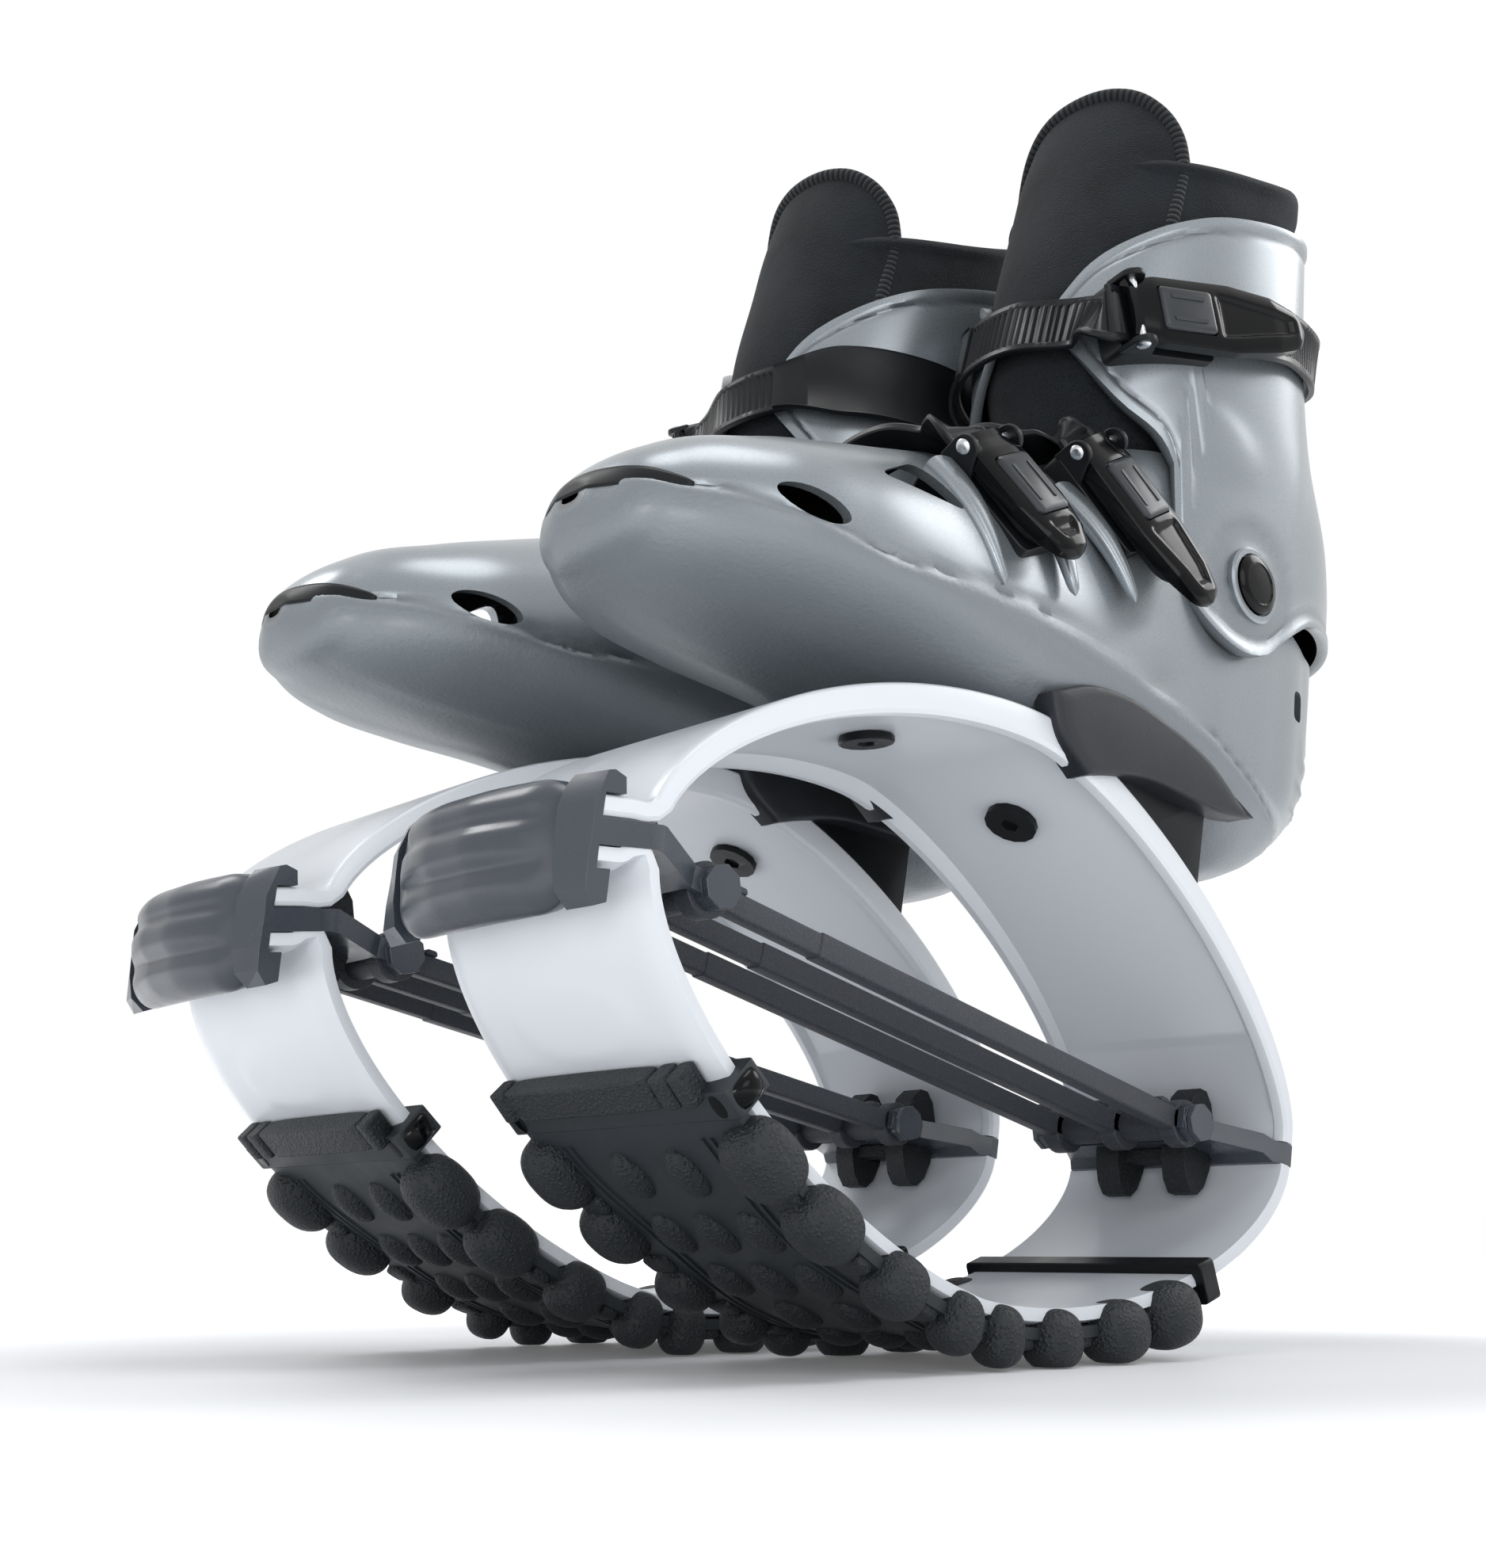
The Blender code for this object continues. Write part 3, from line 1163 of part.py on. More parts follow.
def beside_tongue():
    """Everything in front of the slits that lies outside the tongue's round top."""
    high = LINER_BASE_Z + LINER_HEIGHT + OVERRUN
    room = box("beside", (TONGUE_SPLIT_X, -LINER_WIDTH, TONGUE_SLIT_BASE_Z), (LINER_WIDTH, LINER_WIDTH, high))
    shoulder = TONGUE_TOP_Z - TONGUE_ROUND
    arch = circle(1, (0, 0), 15, 0, math.pi)
    outline = [(TONGUE_HALF_WIDTH * c, shoulder + TONGUE_ROUND * s) for c, s in arch]
    low = TONGUE_SLIT_BASE_Z - GAP
    outline += [(-TONGUE_HALF_WIDTH, low), (TONGUE_HALF_WIDTH, low)]
    front = Matrix(((0, 0, 1, 0), (1, 0, 0, 0), (0, 1, 0, 0), (0, 0, 0, 1)))
    return cut(room, plate("arch", [outline], LINER_LENGTH * 3, front))


def liner():
    """The padded inner boot: foot, leg and the tongue that is sewn in at its base."""
    inset = FOOT_WALL + GAP * 2
    body = foot_body("liner", inset, floor=True)
    cut(body, rim_room("rim"))
    join(body, liner_tube("leg", 0))
    cut(body, foot_body("hollow", inset + LINER_FOOT_WALL, True, LINER_SIDES, 2))
    cut(body, liner_tube("inside", LINER_WALL, GAP))
    high = LINER_BASE_Z + LINER_HEIGHT + OVERRUN
    slit = box("slit", (TONGUE_SPLIT_X - TONGUE_SLIT, -LINER_WIDTH, TONGUE_SLIT_BASE_Z), (TONGUE_SPLIT_X, LINER_WIDTH, high))
    return cut(body, above_liner(), beside_tongue(), slit)


def smooth_track(path, steps):
    """Reads a smooth path of points, each with its way out."""
    return smooth_path([(*point, *(out * GAP)) for point, out in path], steps)


def strap_along(name, track, width, thickness, lift=0.0, start=0.0):
    """A flat strap along a track."""
    steps = len(track)
    points, outs = track[:, :3], track[:, 3:]
    first = int(round(start * (steps - 1)))
    legs = np.diff(points, axis=0)
    legs /= np.linalg.norm(legs, axis=1)[:, None]
    along = np.vstack((legs[:1], legs[:-1] + legs[1:], legs[-1:]))
    along /= np.linalg.norm(along, axis=1)[:, None]
    rings = []
    for k in range(first, steps):
        outward = outs[k] - along[k] * outs[k].dot(along[k])
        outward /= np.linalg.norm(outward)
        side = np.cross(along[k], outward)
        middle = points[k] + outward * lift
        low, high = middle - outward * thickness / 2, middle + outward * thickness / 2
        half = side * width / 2
        rings.append([low - half, low + half, high + half, high - half])
    return loft(name, rings)


def instep_centre(point):
    """A line through the foot, below the instep."""
    return (point[0], 0, foot_height(FOOT_STATION_SHARES[6][3]))


def cuff_skin(degrees, z, clearance):
    """A point this far off the cuff at an angle from the front towards the outer side."""
    table = np.array(CUFF_RING_SHARES)
    share = (z - CUFF_BASE_Z) / CUFF_HEIGHT
    rear, front, half = [np.interp(share, table[:, 0], table[:, k]) for k in (1, 2, 3)]
    back = CUFF_REAR_X + rear * CUFF_LENGTH - clearance
    ahead = CUFF_REAR_X + front * CUFF_LENGTH + clearance
    c, s = power_pair(np.array([math.radians(degrees)]), CUFF_POWER)
    long, wide = (ahead - back) / 2, half * CUFF_WIDTH / 2 + clearance
    power = CUFF_POWER - 1
    out = Vector((math.copysign(abs(c[0]) ** power / long, c[0]), math.copysign(abs(s[0]) ** power / wide, s[0]), 0))
    return Vector(((back + ahead) / 2 + long * c[0], wide * s[0], z)), out.normalized()


def run_under(frame, length):
    """The straight run of a strap through its buckle: under the lever, at the mouth and before it."""
    out = frame.to_3x3() @ Vector((0, 0, 1))
    places = (length * STRAP_RUN_SHARE, BUCKLE_BASE_FRONT - GAP, BUCKLE_BASE_FRONT - STRAP_LEAD)
    return [(frame @ Vector((x, 0, 0)), out) for x in places]


def shin_strap(frame, length):
    under, mouth, entrance = run_under(frame, length)
    tail = smooth_track([cuff_skin(*point) for point in SHIN_TAIL[::-1]] + [under], SHIN_TAIL_STEPS)
    wrap = smooth_track([entrance] + [cuff_skin(*point) for point in SHIN_WRAP], SHIN_WRAP_STEPS)
    track = np.vstack((tail, smooth_track([mouth, entrance], 2)[:1], wrap))
    strap = strap_along("shin_strap", track, LADDER_WIDTH, LADDER_THICKNESS)
    lift = (LADDER_THICKNESS + PAD_STRAP_THICKNESS) / 2 - PAD_STRAP_SEAT
    return join(strap, strap_along("pad", track, PAD_STRAP_WIDTH, PAD_STRAP_THICKNESS, lift, PAD_STRAP_START))


def instep_straps(toe, ankle):
    """Two toothed straps over the instep, on one anchor plate at the inner side."""
    anchor = skin_plate("instep_straps", STRAP_ANCHOR, -1)
    for (frame, length), wrap in ((toe, TOE_WRAP), (ankle, ANKLE_WRAP)):
        under, mouth, entrance = run_under(frame, length)
        over = smooth_track([entrance] + [foot_skin(*point) for point in wrap], INSTEP_STEPS)
        track = np.vstack((smooth_track([under, mouth], 2), over))
        join(anchor, strap_along("ladder", track, LADDER_WIDTH, LADDER_THICKNESS))
    return cut(anchor, foot_body("foot", -GAP))


def buckle_frame(buckle):
    """Matrix of a buckle: along the strap to its tail, across it, and outwards."""
    at = Vector(buckle["at"])
    along = (Vector(buckle["tail"]) - at).normalized()
    outward = Vector(buckle["out"])
    outward = (outward - along * outward.dot(along)).normalized()
    across = outward.cross(along)
    turn = Matrix((along, across, outward)).transposed().to_4x4()
    return Matrix.Translation(at + outward * buckle["rise"]) @ turn


def lever_length(buckle):
    return (Vector(buckle["tail"]) - Vector(buckle["at"])).length


def horn(top, tip):
    """A horn that runs down the boot beside a lever and tapers to its tip."""
    top = Vector(top)
    tip = Vector(tip)
    along = (tip - top).normalized()
    outward = (top + tip) / 2 - Vector(instep_centre(top))
    outward = (outward - along * outward.dot(along)).normalized()
    across = outward.cross(along)
    length = (tip - top).length
    rings = []
    for share, high, wide in ((0, 0.55, 0.8), (0.2, 1, 1), (0.6, 0.85, 0.9), (1, 0.1, 0.4)):
        middle = top + along * (share * length)
        half = across * (wide * HORN_THICKNESS / 2)
        low = middle - outward * HORN_HEIGHT
        peak = middle + outward * (high * HORN_HEIGHT / 2)
        rings.append([low - half, low + half, peak + half, peak - half])
    return loft("horn", rings)


def instep_buckle_frame(toe, ankle):
    """Both ratchet frames on one plate with three horns, shaped to the boot."""
    frame = skin_plate("instep_buckle_frame", FRAME_OUTLINE, 1)
    join(frame, buckle_base("base", toe), buckle_base("base", ankle), *[horn(*ends) for ends in HORNS])
    return cut(frame, foot_body("foot", -GAP))


def buckle_base(name, frame):
    """A channel for the strap with two ears, a cross pin and its heads."""
    inner = LADDER_WIDTH / 2 + BUCKLE_EAR_GAP
    outer = inner + BUCKLE_EAR
    floor = -LADDER_THICKNESS / 2 - GAP
    start = BUCKLE_BASE_FRONT
    base = box(name, (start, -outer, floor - BUCKLE_BASE_DEPTH), (start + BUCKLE_BASE_LENGTH, outer, floor), frame)
    for side in (-1, 1):
        low, high = sorted((side * inner, side * outer))
        ear = (start + GAP, low, floor - BUCKLE_EAR), (start + BUCKLE_EAR_LENGTH, high - GAP, BUCKLE_EAR_TOP)
        if side < 0:
            ear = (start + GAP, low + GAP, floor - BUCKLE_EAR), (start + BUCKLE_EAR_LENGTH, high, BUCKLE_EAR_TOP)
        join(base, box("ear", *ear, frame))
    reach = outer + BUCKLE_PIN_HEAD
    axis = [frame @ Vector((0, side * (reach - GAP), BUCKLE_AXIS_HEIGHT)) for side in (-1, 1)]
    join(base, cylinder("pin", BUCKLE_PIN_RADIUS, *axis, 8))
    for side in (-1, 1):
        ends = [frame @ Vector((0, side * y, BUCKLE_AXIS_HEIGHT)) for y in (outer - GAP, reach)]
        join(base, cylinder("head", BUCKLE_PIN_HEAD_RADIUS, *ends, 8))
    return base


def buckle_lever(name, frame, length):
    """A tapered lever on the pin, with a pocket for the button."""
    side = Matrix(((1, 0, 0, 0), (0, 0, -1, 0), (0, 1, 0, 0), (0, 0, 0, 1)))
    low = LADDER_THICKNESS / 2 + GAP
    high = low + LEVER_THICKNESS
    knuckle = circle(BUCKLE_KNUCKLE_RADIUS, (0, BUCKLE_AXIS_HEIGHT), 9, math.pi / 2, math.pi * 1.5)
    outline = knuckle + [
        (LEVER_FLARE_START, low + BUCKLE_RUN_CLEARANCE), (length * 0.75, low + BUCKLE_RUN_CLEARANCE),
        (length, low + LEVER_THICKNESS / 3), (length, high - LEVER_THICKNESS / 4), (length * 0.8, high + LEVER_THICKNESS / 4),
        (BUTTON_START + BUTTON_LENGTH, high + LEVER_THICKNESS / 5), (BUTTON_START, high + LEVER_THICKNESS / 5),
    ]
    lever = plate(name, [outline], LEVER_WIDTH, frame @ side)
    narrow = LADDER_WIDTH / 2
    half = LEVER_WIDTH / 2
    tip = LEVER_TIP_WIDTH / 2
    plan = [
        (-BUCKLE_KNUCKLE_RADIUS * 2, narrow), (LEVER_FLARE_START, narrow), (LEVER_FLARE_END, half),
        (length * 0.55, half), (length * 0.8, half * 0.78), (length * 0.95, tip * 1.5), (length, tip),
    ]
    plan += [(x, -y) for x, y in plan[::-1]]
    combine(lever, plate("plan", [plan], OVERRUN, frame), "INTERSECT")
    axis = [frame @ Vector((0, y, BUCKLE_AXIS_HEIGHT)) for y in (-LEVER_WIDTH, LEVER_WIDTH)]
    cut(lever, cylinder("bore", BUCKLE_PIN_RADIUS + BUCKLE_RUN_CLEARANCE, *axis, 12))
    top = high + LEVER_THICKNESS / 5
    pocket = box(
        "pocket",
        (BUTTON_START - GAP, -BUTTON_WIDTH / 2 - GAP, top - POCKET_DEPTH),
        (BUTTON_START + BUTTON_LENGTH + GAP, BUTTON_WIDTH / 2 + GAP, top + OVERRUN),
        frame,
    )
    return cut(lever, pocket)


def buckle_button(name, frame):
    """The press button in the lever's pocket."""
    top = LADDER_THICKNESS / 2 + GAP + LEVER_THICKNESS * 1.2
    return box(
        name,
        (BUTTON_START, -BUTTON_WIDTH / 2, top - POCKET_DEPTH + BUTTON_TRAVEL + GAP),
        (BUTTON_START + BUTTON_LENGTH, BUTTON_WIDTH / 2, top + BUTTON_PROUD),
        frame,
    )


def boot_pieces():
    """Every piece of a left boot: object, finish and the point that it turns about."""
    pin_front = Vector((PIN_X, 0, 0))
    pin_rear = Vector((-PIN_X, 0, 0))
    pivot = Vector((PIVOT_X, 0, PIVOT_Z))
    still = Vector((0, 0, 0))
    buckles = {"shin": SHIN_BUCKLE, "ankle": ANKLE_BUCKLE, "toe": TOE_BUCKLE}
    runs = {name: (buckle_frame(buckle), lever_length(buckle)) for name, buckle in buckles.items()}
    shin = runs["shin"][0]
    base = cut(buckle_base("shin_buckle_base", shin), cuff_tube("cuff_room", -GAP, OVERRUN))
    pieces = [
        (lower_shell(), WHITE, still),
        (tread(), RUBBER, still),
        (front_holder(), GREY, pin_front),
        (rear_holder(), GREY, pin_rear),
        (pin("front_pin", PIN_X), GREY, pin_front),
        (pin("rear_pin", -PIN_X), GREY, pin_rear),
        (tension_straps(), GREY, pin_rear),
        (bumpers("front_bumpers"), RUBBER, pin_front),
        (mirror_x(bumpers("rear_bumpers")), RUBBER, pin_rear),
        (front_cap(), GREY, still),
        (rear_cap(), GREY, still),
        (upper_shell(), WHITE, still),
        (shell_bolt("front_bolt", BOLT_XS[0]), BLACK, still),
        (shell_bolt("rear_bolt", BOLT_XS[1]), BLACK, still),
        (heel_pad(), RUBBER, still),
        (foot_shell(), SILVER, still),
        (cuff(), SILVER, pivot),
        (cuff_rivet("outer_rivet", 1), BLACK, pivot),
        (cuff_rivet("inner_rivet", -1), BLACK, pivot),
        (liner(), FABRIC, still),
        (shin_strap(*runs["shin"]), BLACK, pivot),
        (base, BLACK, pivot),
        (instep_straps(runs["toe"], runs["ankle"]), BLACK, still),
        (instep_buckle_frame(runs["toe"][0], runs["ankle"][0]), BLACK, still),
    ]
    for name, (frame, length) in runs.items():
        axis = frame @ Vector((0, 0, BUCKLE_AXIS_HEIGHT))
        pieces.append((buckle_lever(f"{name}_buckle_lever", frame, length), BLACK, axis))
        pieces.append((buckle_button(f"{name}_buckle_button", frame), GREY, axis))
    return pieces


def lean_matrix(lean, yaw):
    """Tips a boot back on its heel and turns it about the vertical."""
    return Matrix.Rotation(yaw, 4, "Z") @ Matrix.Rotation(-lean, 4, "Y")


def flatten_tread(thing, turn):
    """Cuts the lowest lugs flat, level with the ground, and gives the ground's height."""
    down = turn.inverted().to_3x3() @ Vector((0, 0, -1))
    level = TREAD_FLAT - max(vertex.co.dot(down) for vertex in thing.data.vertices)
    reach = SHELL_HALF_LENGTH * 2
    ground = box("ground", (-reach, -reach, level - OVERRUN), (reach, reach, level), turn.inverted())
    cut(thing, ground)
    return level


def mirrored(mesh, name):
    """A copy of a mesh, mirrored across the boot's middle plane."""
    shape = bmesh.new()
    shape.from_mesh(mesh)
    bmesh.ops.scale(shape, vec=(1, -1, 1), verts=shape.verts)
    bmesh.ops.reverse_faces(shape, faces=shape.faces)
    copy = bpy.data.meshes.new(name)
    shape.to_mesh(copy)
    shape.free()
    return copy


def place_boot(side, pieces, turn, ground, collection):
    """Sets a boot's pieces down, each with its origin on its own axis."""
    placed = []
    height = 0
    for source, finish, pivot in pieces:
        name = f"{side}_{source.name}"
        mirror = side == "right"
        mesh = mirrored(source.data, name) if mirror else source.data.copy()
        about = Vector((pivot.x, -pivot.y, pivot.z)) if mirror else pivot
        thing = bpy.data.objects.new(name, mesh)
        collection.objects.link(thing)
        if source.name == "tread":
            height = flatten_tread(thing, turn)
        mesh = thing.data
        mesh.transform(Matrix.Translation(-about))
        mesh.materials.clear()
        mesh.materials.append(make_material(name, finish))
        mesh.shade_smooth()
        mesh.set_sharp_from_angle(angle=math.radians(35))
        placed.append((thing, about))
    base = Matrix.Translation((ground[0], ground[1], -height)) @ turn
    for thing, about in placed:
        thing.matrix_world = base @ Matrix.Translation(about)
    return [thing for thing, about in placed]


def centre_pair(things):
    """Moves the pair so that the middle of its floor rectangle is the origin."""
    bpy.context.view_layer.update()
    corners = np.array([thing.matrix_world @ vertex.co for thing in things for vertex in thing.data.vertices])
    low, high = corners.min(axis=0), corners.max(axis=0)
    shift = Matrix.Translation((-(low[0] + high[0]) / 2, -(low[1] + high[1]) / 2, -low[2]))
    for thing in things:
        thing.matrix_world = shift @ thing.matrix_world


def main():
    clear_scene()
    collection = bpy.data.collections.new("jumping_shoes")
    bpy.context.scene.collection.children.link(collection)
    pieces = boot_pieces()
    left = place_boot("left", pieces, lean_matrix(LEFT_LEAN, 0), (0, 0), collection)
    right_turn = lean_matrix(RIGHT_LEAN, RIGHT_YAW)
    right = place_boot("right", pieces, right_turn, (RIGHT_AHEAD, -BOOT_SPACING), collection)
    for source, finish, pivot in pieces:
        bpy.data.objects.remove(source)
    centre_pair(left + right)


main()
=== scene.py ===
"""Looks for a pair of rebound jumping shoes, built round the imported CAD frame.

Every piece is worked out in the frame of one boot, in millimetres: X towards the toe, Y towards the
buckle side and Z up, with the origin midway between the two cross pins. Each shape is drawn once and
set down twice; the right boot is the mirror image of the left one.
"""

import math

import bmesh
import bpy
import numpy as np
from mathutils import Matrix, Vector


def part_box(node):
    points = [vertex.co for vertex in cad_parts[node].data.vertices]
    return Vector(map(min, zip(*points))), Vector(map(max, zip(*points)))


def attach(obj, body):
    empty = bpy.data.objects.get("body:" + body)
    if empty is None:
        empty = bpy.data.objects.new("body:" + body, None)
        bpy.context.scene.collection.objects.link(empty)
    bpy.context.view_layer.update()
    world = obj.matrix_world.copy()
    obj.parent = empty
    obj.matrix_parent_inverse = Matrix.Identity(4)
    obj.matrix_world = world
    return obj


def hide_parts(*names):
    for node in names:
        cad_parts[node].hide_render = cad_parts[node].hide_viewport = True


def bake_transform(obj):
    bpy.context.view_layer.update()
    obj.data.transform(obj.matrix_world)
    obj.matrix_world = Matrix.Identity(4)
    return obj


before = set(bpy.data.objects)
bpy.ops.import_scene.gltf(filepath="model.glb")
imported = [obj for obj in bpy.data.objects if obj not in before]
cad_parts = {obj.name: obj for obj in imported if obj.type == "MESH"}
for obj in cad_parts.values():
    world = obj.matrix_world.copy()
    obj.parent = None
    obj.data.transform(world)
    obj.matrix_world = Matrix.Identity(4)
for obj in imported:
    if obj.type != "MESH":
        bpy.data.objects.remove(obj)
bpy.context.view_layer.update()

MM = 0.001
SIDES = ("left", "right")

# Camera, as it stood for the photograph: place from the left boot's pins, angles and lens.
CAMERA_FROM_PINS = np.array((416.1, 386.2, -62.9))
CAMERA_AZIMUTH = math.radians(47.7)
CAMERA_ELEVATION = math.radians(-13.49)
CAMERA_LENS = 44.46
CAMERA_SENSOR = 36.0

# Spring shells.
SHELL_HALF = 136.5
SHELL_HALF_WIDTH = 42.4
SHELL_END = 6.5
SHELL_BEVEL = 6.0
UPPER = {"rise": 84.5, "power": 1.57, "rear": 2.0, "lip": 9.1, "start": -11.0, "wall": 5.2}
LOWER = {"rise": -76.3, "power": 1.62, "rear": -5.6, "lip": -8.4, "start": -7.0, "wall": 5.0}
LIP_END = 6.0
UPPER_RIM = 4.8
HOOK_ORIGIN = (150.0, -6.0)
HOOK_TILT = math.radians(-17)
# How the front housing is rounded in plan: where it starts behind the hook's origin, its reach ahead, the
# depth at the sides, the flat share in the middle and the power of the fall.
ROUND_START, ROUND_REACH, ROUND_DEPTH, ROUND_FLAT, ROUND_POWER = 12.0, 27.0, 13.0, 0.16, 1.46
# The housing's outer line in the hook's frame, its two ridges as shares of the line, and its half width.
CAP_EDGE = (
    (1.0, 15.0), (7.0, 14.7), (12.0, 12.0), (15.0, 6.5), (15.8, 1.0), (15.2, -7.0), (12.5, -13.5),
    (6.0, -17.5), (0.5, -16.5),
)
CAP_RIDGES, CAP_RIDGE_HEIGHT, CAP_RIDGE_WIDTH = (0.36, 0.59), 1.7, 0.05
CAP_HALF, CAP_WALL_SHARE = 33.2, 0.22
BLEND_START = 45.0
BLEND_END = 137.0

# Tread.
TREAD_REACH = 93.0
TREAD_THICK = 4.2
SIDE_LUG_Y = 40.0
LUG_POWER = 2.5
# Winding rails: share of the half width, sway and its period.
RAIL_SHARE, RAIL_SWAY, RAIL_PERIOD = 0.62, 1.7, 11.0
# Bands round the lower shell, and the block on the front one: places along it.
FRONT_BAND_X, FRONT_BLOCK_X, REAR_BAND_X = 96.0, 101.6, -95.5
# Side lugs: place, half length, half width, height.
SIDE_LUGS = (
    (80.0, 11.6, 9.2, 8.4), (57.5, 10.8, 8.8, 8.4), (30.0, 8.6, 8.0, 8.2), (6.4, 6.8, 7.2, 8.2),
    (-9.8, 6.8, 7.2, 8.2), (-31.9, 8.2, 7.8, 8.2), (-58.0, 10.4, 8.8, 8.7), (-80.5, 10.8, 9.0, 9.4),
)
# Middle lugs: place and the places across, as shares of the half width.
MIDDLE_ROWS = (
    (78.0, (-0.26, 0.26)), (56.0, (-0.40, 0.0, 0.40)), (34.0, (-0.40, 0.0, 0.40)), (13.0, (-0.26, 0.26)),
    (-9.0, (-0.40, 0.0, 0.40)), (-32.0, (-0.26, 0.26)), (-56.0, (-0.40, 0.0, 0.40)), (-78.0, (-0.26, 0.26)),
)

# Pins and straps.
PIN_X = 102.7
STRAP_YS = (-23.0, 0.0, 23.0)
EYE_RADIUS = 7.4

# Foot shell: place, sole, widest height, top, half width and power of the upper half.
FOOT_ROWS = np.array((
    (-161.0, 139.8, 164.5, 191.8, 9.0, 2.3), (-154.7, 122.9, 154.1, 249.0, 20.5, 2.3),
    (-134.2, 99.5, 137.2, 294.5, 34.0, 2.3), (-112.1, 88.1, 129.4, 307.5, 38.5, 2.3),
    (-85.3, 87.0, 124.9, 307.5, 41.0, 2.3), (-52.2, 87.8, 122.3, 294.5, 43.0, 2.2),
    (-22.2, 85.9, 119.7, 210.0, 44.5, 1.9), (7.8, 85.9, 116.4, 195.7, 46.5, 1.8),
    (34.6, 85.9, 111.9, 178.2, 48.5, 1.8), (61.4, 85.2, 106.7, 163.2, 50.0, 1.9),
    (89.8, 82.1, 102.8, 147.6, 49.0, 2.1), (116.6, 79.7, 100.2, 132.7, 43.5, 2.3),
    (138.7, 80.4, 98.5, 119.7, 28.5, 2.3), (151.0, 85.2, 96.9, 106.7, 15.0, 2.2),
    (154.5, 91.1, 95.9, 100.8, 6.5, 2.2),
))
FOOT_LOWER_POWER = 2.5
FOOT_RIM = np.array((
    (-177.0, 186.0), (-113.7, 186.0), (-102.6, 200.9), (-52.2, 212.6), (-34.8, 210.0), (-23.8, 208.7),
    (3.1, 202.2), (4.0, 400.0),
))
THROAT_START, THROAT_END, THROAT_HALF = -44.3, 45.7, 21.0
FOOT_WALL = 3.2
# Openings in the foot shell's sides, X and Z: the oval vent's middle and half sizes, and two outlines.
VENT_MIDDLE, VENT_SIZE = (108.6, 104.9), (11.0, 4.2)
WEDGE_VENT = ((50.0, 134.0), (86.0, 128.5), (66.0, 146.0))
HEEL_HOLE = ((-136.0, 153.0), (-128.0, 151.0), (-127.0, 162.0), (-135.0, 164.0))
# Heel ribs: the lowest one's height, their distance and their width.
RIB_LOW, RIB_STEP, RIB_WIDTH, RIB_COUNT = 122, 9, 1.4, 4
# A dark plate that paints the shade of the toe slot, in place of an opening: height of its middle, half
# width, lift over the skin; and halvings.
TOE_SHADE_PLATE_Z, TOE_SHADE_PLATE_HALF, TOE_SHADE_PLATE_LIFT, HALVINGS = 99.8, 30.0, 0.25, 26
PARTING = np.array((
    (-170.0, 108.0), (-120.0, 112.0), (-75.0, 121.0), (-30.0, 122.0), (25.0, 117.0), (80.0, 101.6),
    (160.0, 100.0),
))

# Cuff and liner rings: height, rear, front, half width.
CUFF_ROWS = np.array((
    (145.0, -166.5, -11.9, 46.5), (190.1, -166.5, -9.4, 46.7), (224.2, -161.6, -4.5, 47.5),
    (249.5, -145.6, -2.0, 48.8), (279.2, -133.4, -3.6, 50.4), (321.0, -123.9, -9.4, 51.5),
    (365.0, -118.8, -16.0, 51.7),
))
CUFF_POWER = 2.3
CUFF_LOW = np.array((
    (-183.0, 188.5), (-145.1, 187.9), (-122.1, 182.4), (-105.6, 169.2), (-92.5, 156.0), (-81.0, 151.6),
    (-64.5, 153.8), (-51.4, 162.6), (-44.8, 180.2), (-44.0, 200.0), (-36.5, 211.0), (-21.7, 219.8),
    (-11.0, 231.9), (-4.5, 244.0), (-3.0, 250.0),
))
CUFF_HIGH = np.array((
    (-183.0, 354.0), (-146.8, 352.9), (-136.9, 348.5), (-100.7, 332.0), (-61.2, 313.3), (-34.9, 299.0),
    (-18.5, 285.8), (-9.4, 274.8), (-4.5, 260.0), (-3.0, 252.0),
))
CUFF_WALL = 3.0
PIVOT = (-83.0, 178.0)
PIVOT_FACE = 46.6
LINER_ROWS = np.array((
    (142.0, -147.2, -39.2, 31.7), (186.3, -148.6, -25.0, 32.6), (212.1, -150.0, -17.9, 33.1),
    (240.4, -142.5, -10.1, 42.5), (274.8, -129.7, -8.0, 45.4), (319.1, -119.5, -13.0, 46.8),
    (388.0, -113.5, -21.5, 47.3),
))
LINER_TOP = np.array((
    (-178.0, 377.5), (-130.1, 377.5), (-107.4, 367.0), (-90.4, 353.0), (-71.9, 342.0), (-45.6, 331.0),
    (0.0, 322.0),
))

LINER_LOW, LINER_WALL, COLLAR_HEIGHT = 146.0, 5.8, 7.0
TONGUE_LOW, TONGUE_HIGH, TONGUE_HALF_WIDTH = 196.0, 359.0, 36.0
# Rounds in which the heights of a leg tube settle between edges that depend on X.
SETTLE_ROUNDS = 6

# Ladder straps: distance between rungs, step along the strap, half width; and the shin pad's half width.
RUNG_PITCH, LADDER_STEP, LADDER_HALF = 2.6, 0.52, 10.0
SHIN_PAD_HALF = 15.0
# The point of the shin strap's track from which the pad carries it.
PAD_TRACK_START = 187

# Buckles: entrance, end of the lever, outward way, rise above the entrance.
BUCKLES = {
    "shin": ((-12.0, 35.0, 245.0), (-78.0, 54.0, 270.0), (0.25, 0.96, 0.0), 6.0),
    "ankle": ((-10.0, 25.0, 190.0), (-50.0, 46.0, 147.0), (0.2, 0.92, 0.3), 8.1),
    "toe": ((40.0, 27.0, 160.0), (14.0, 46.0, 129.0), (0.25, 0.88, 0.38), 8.7),
}
BUCKLE_AXIS = 4.6
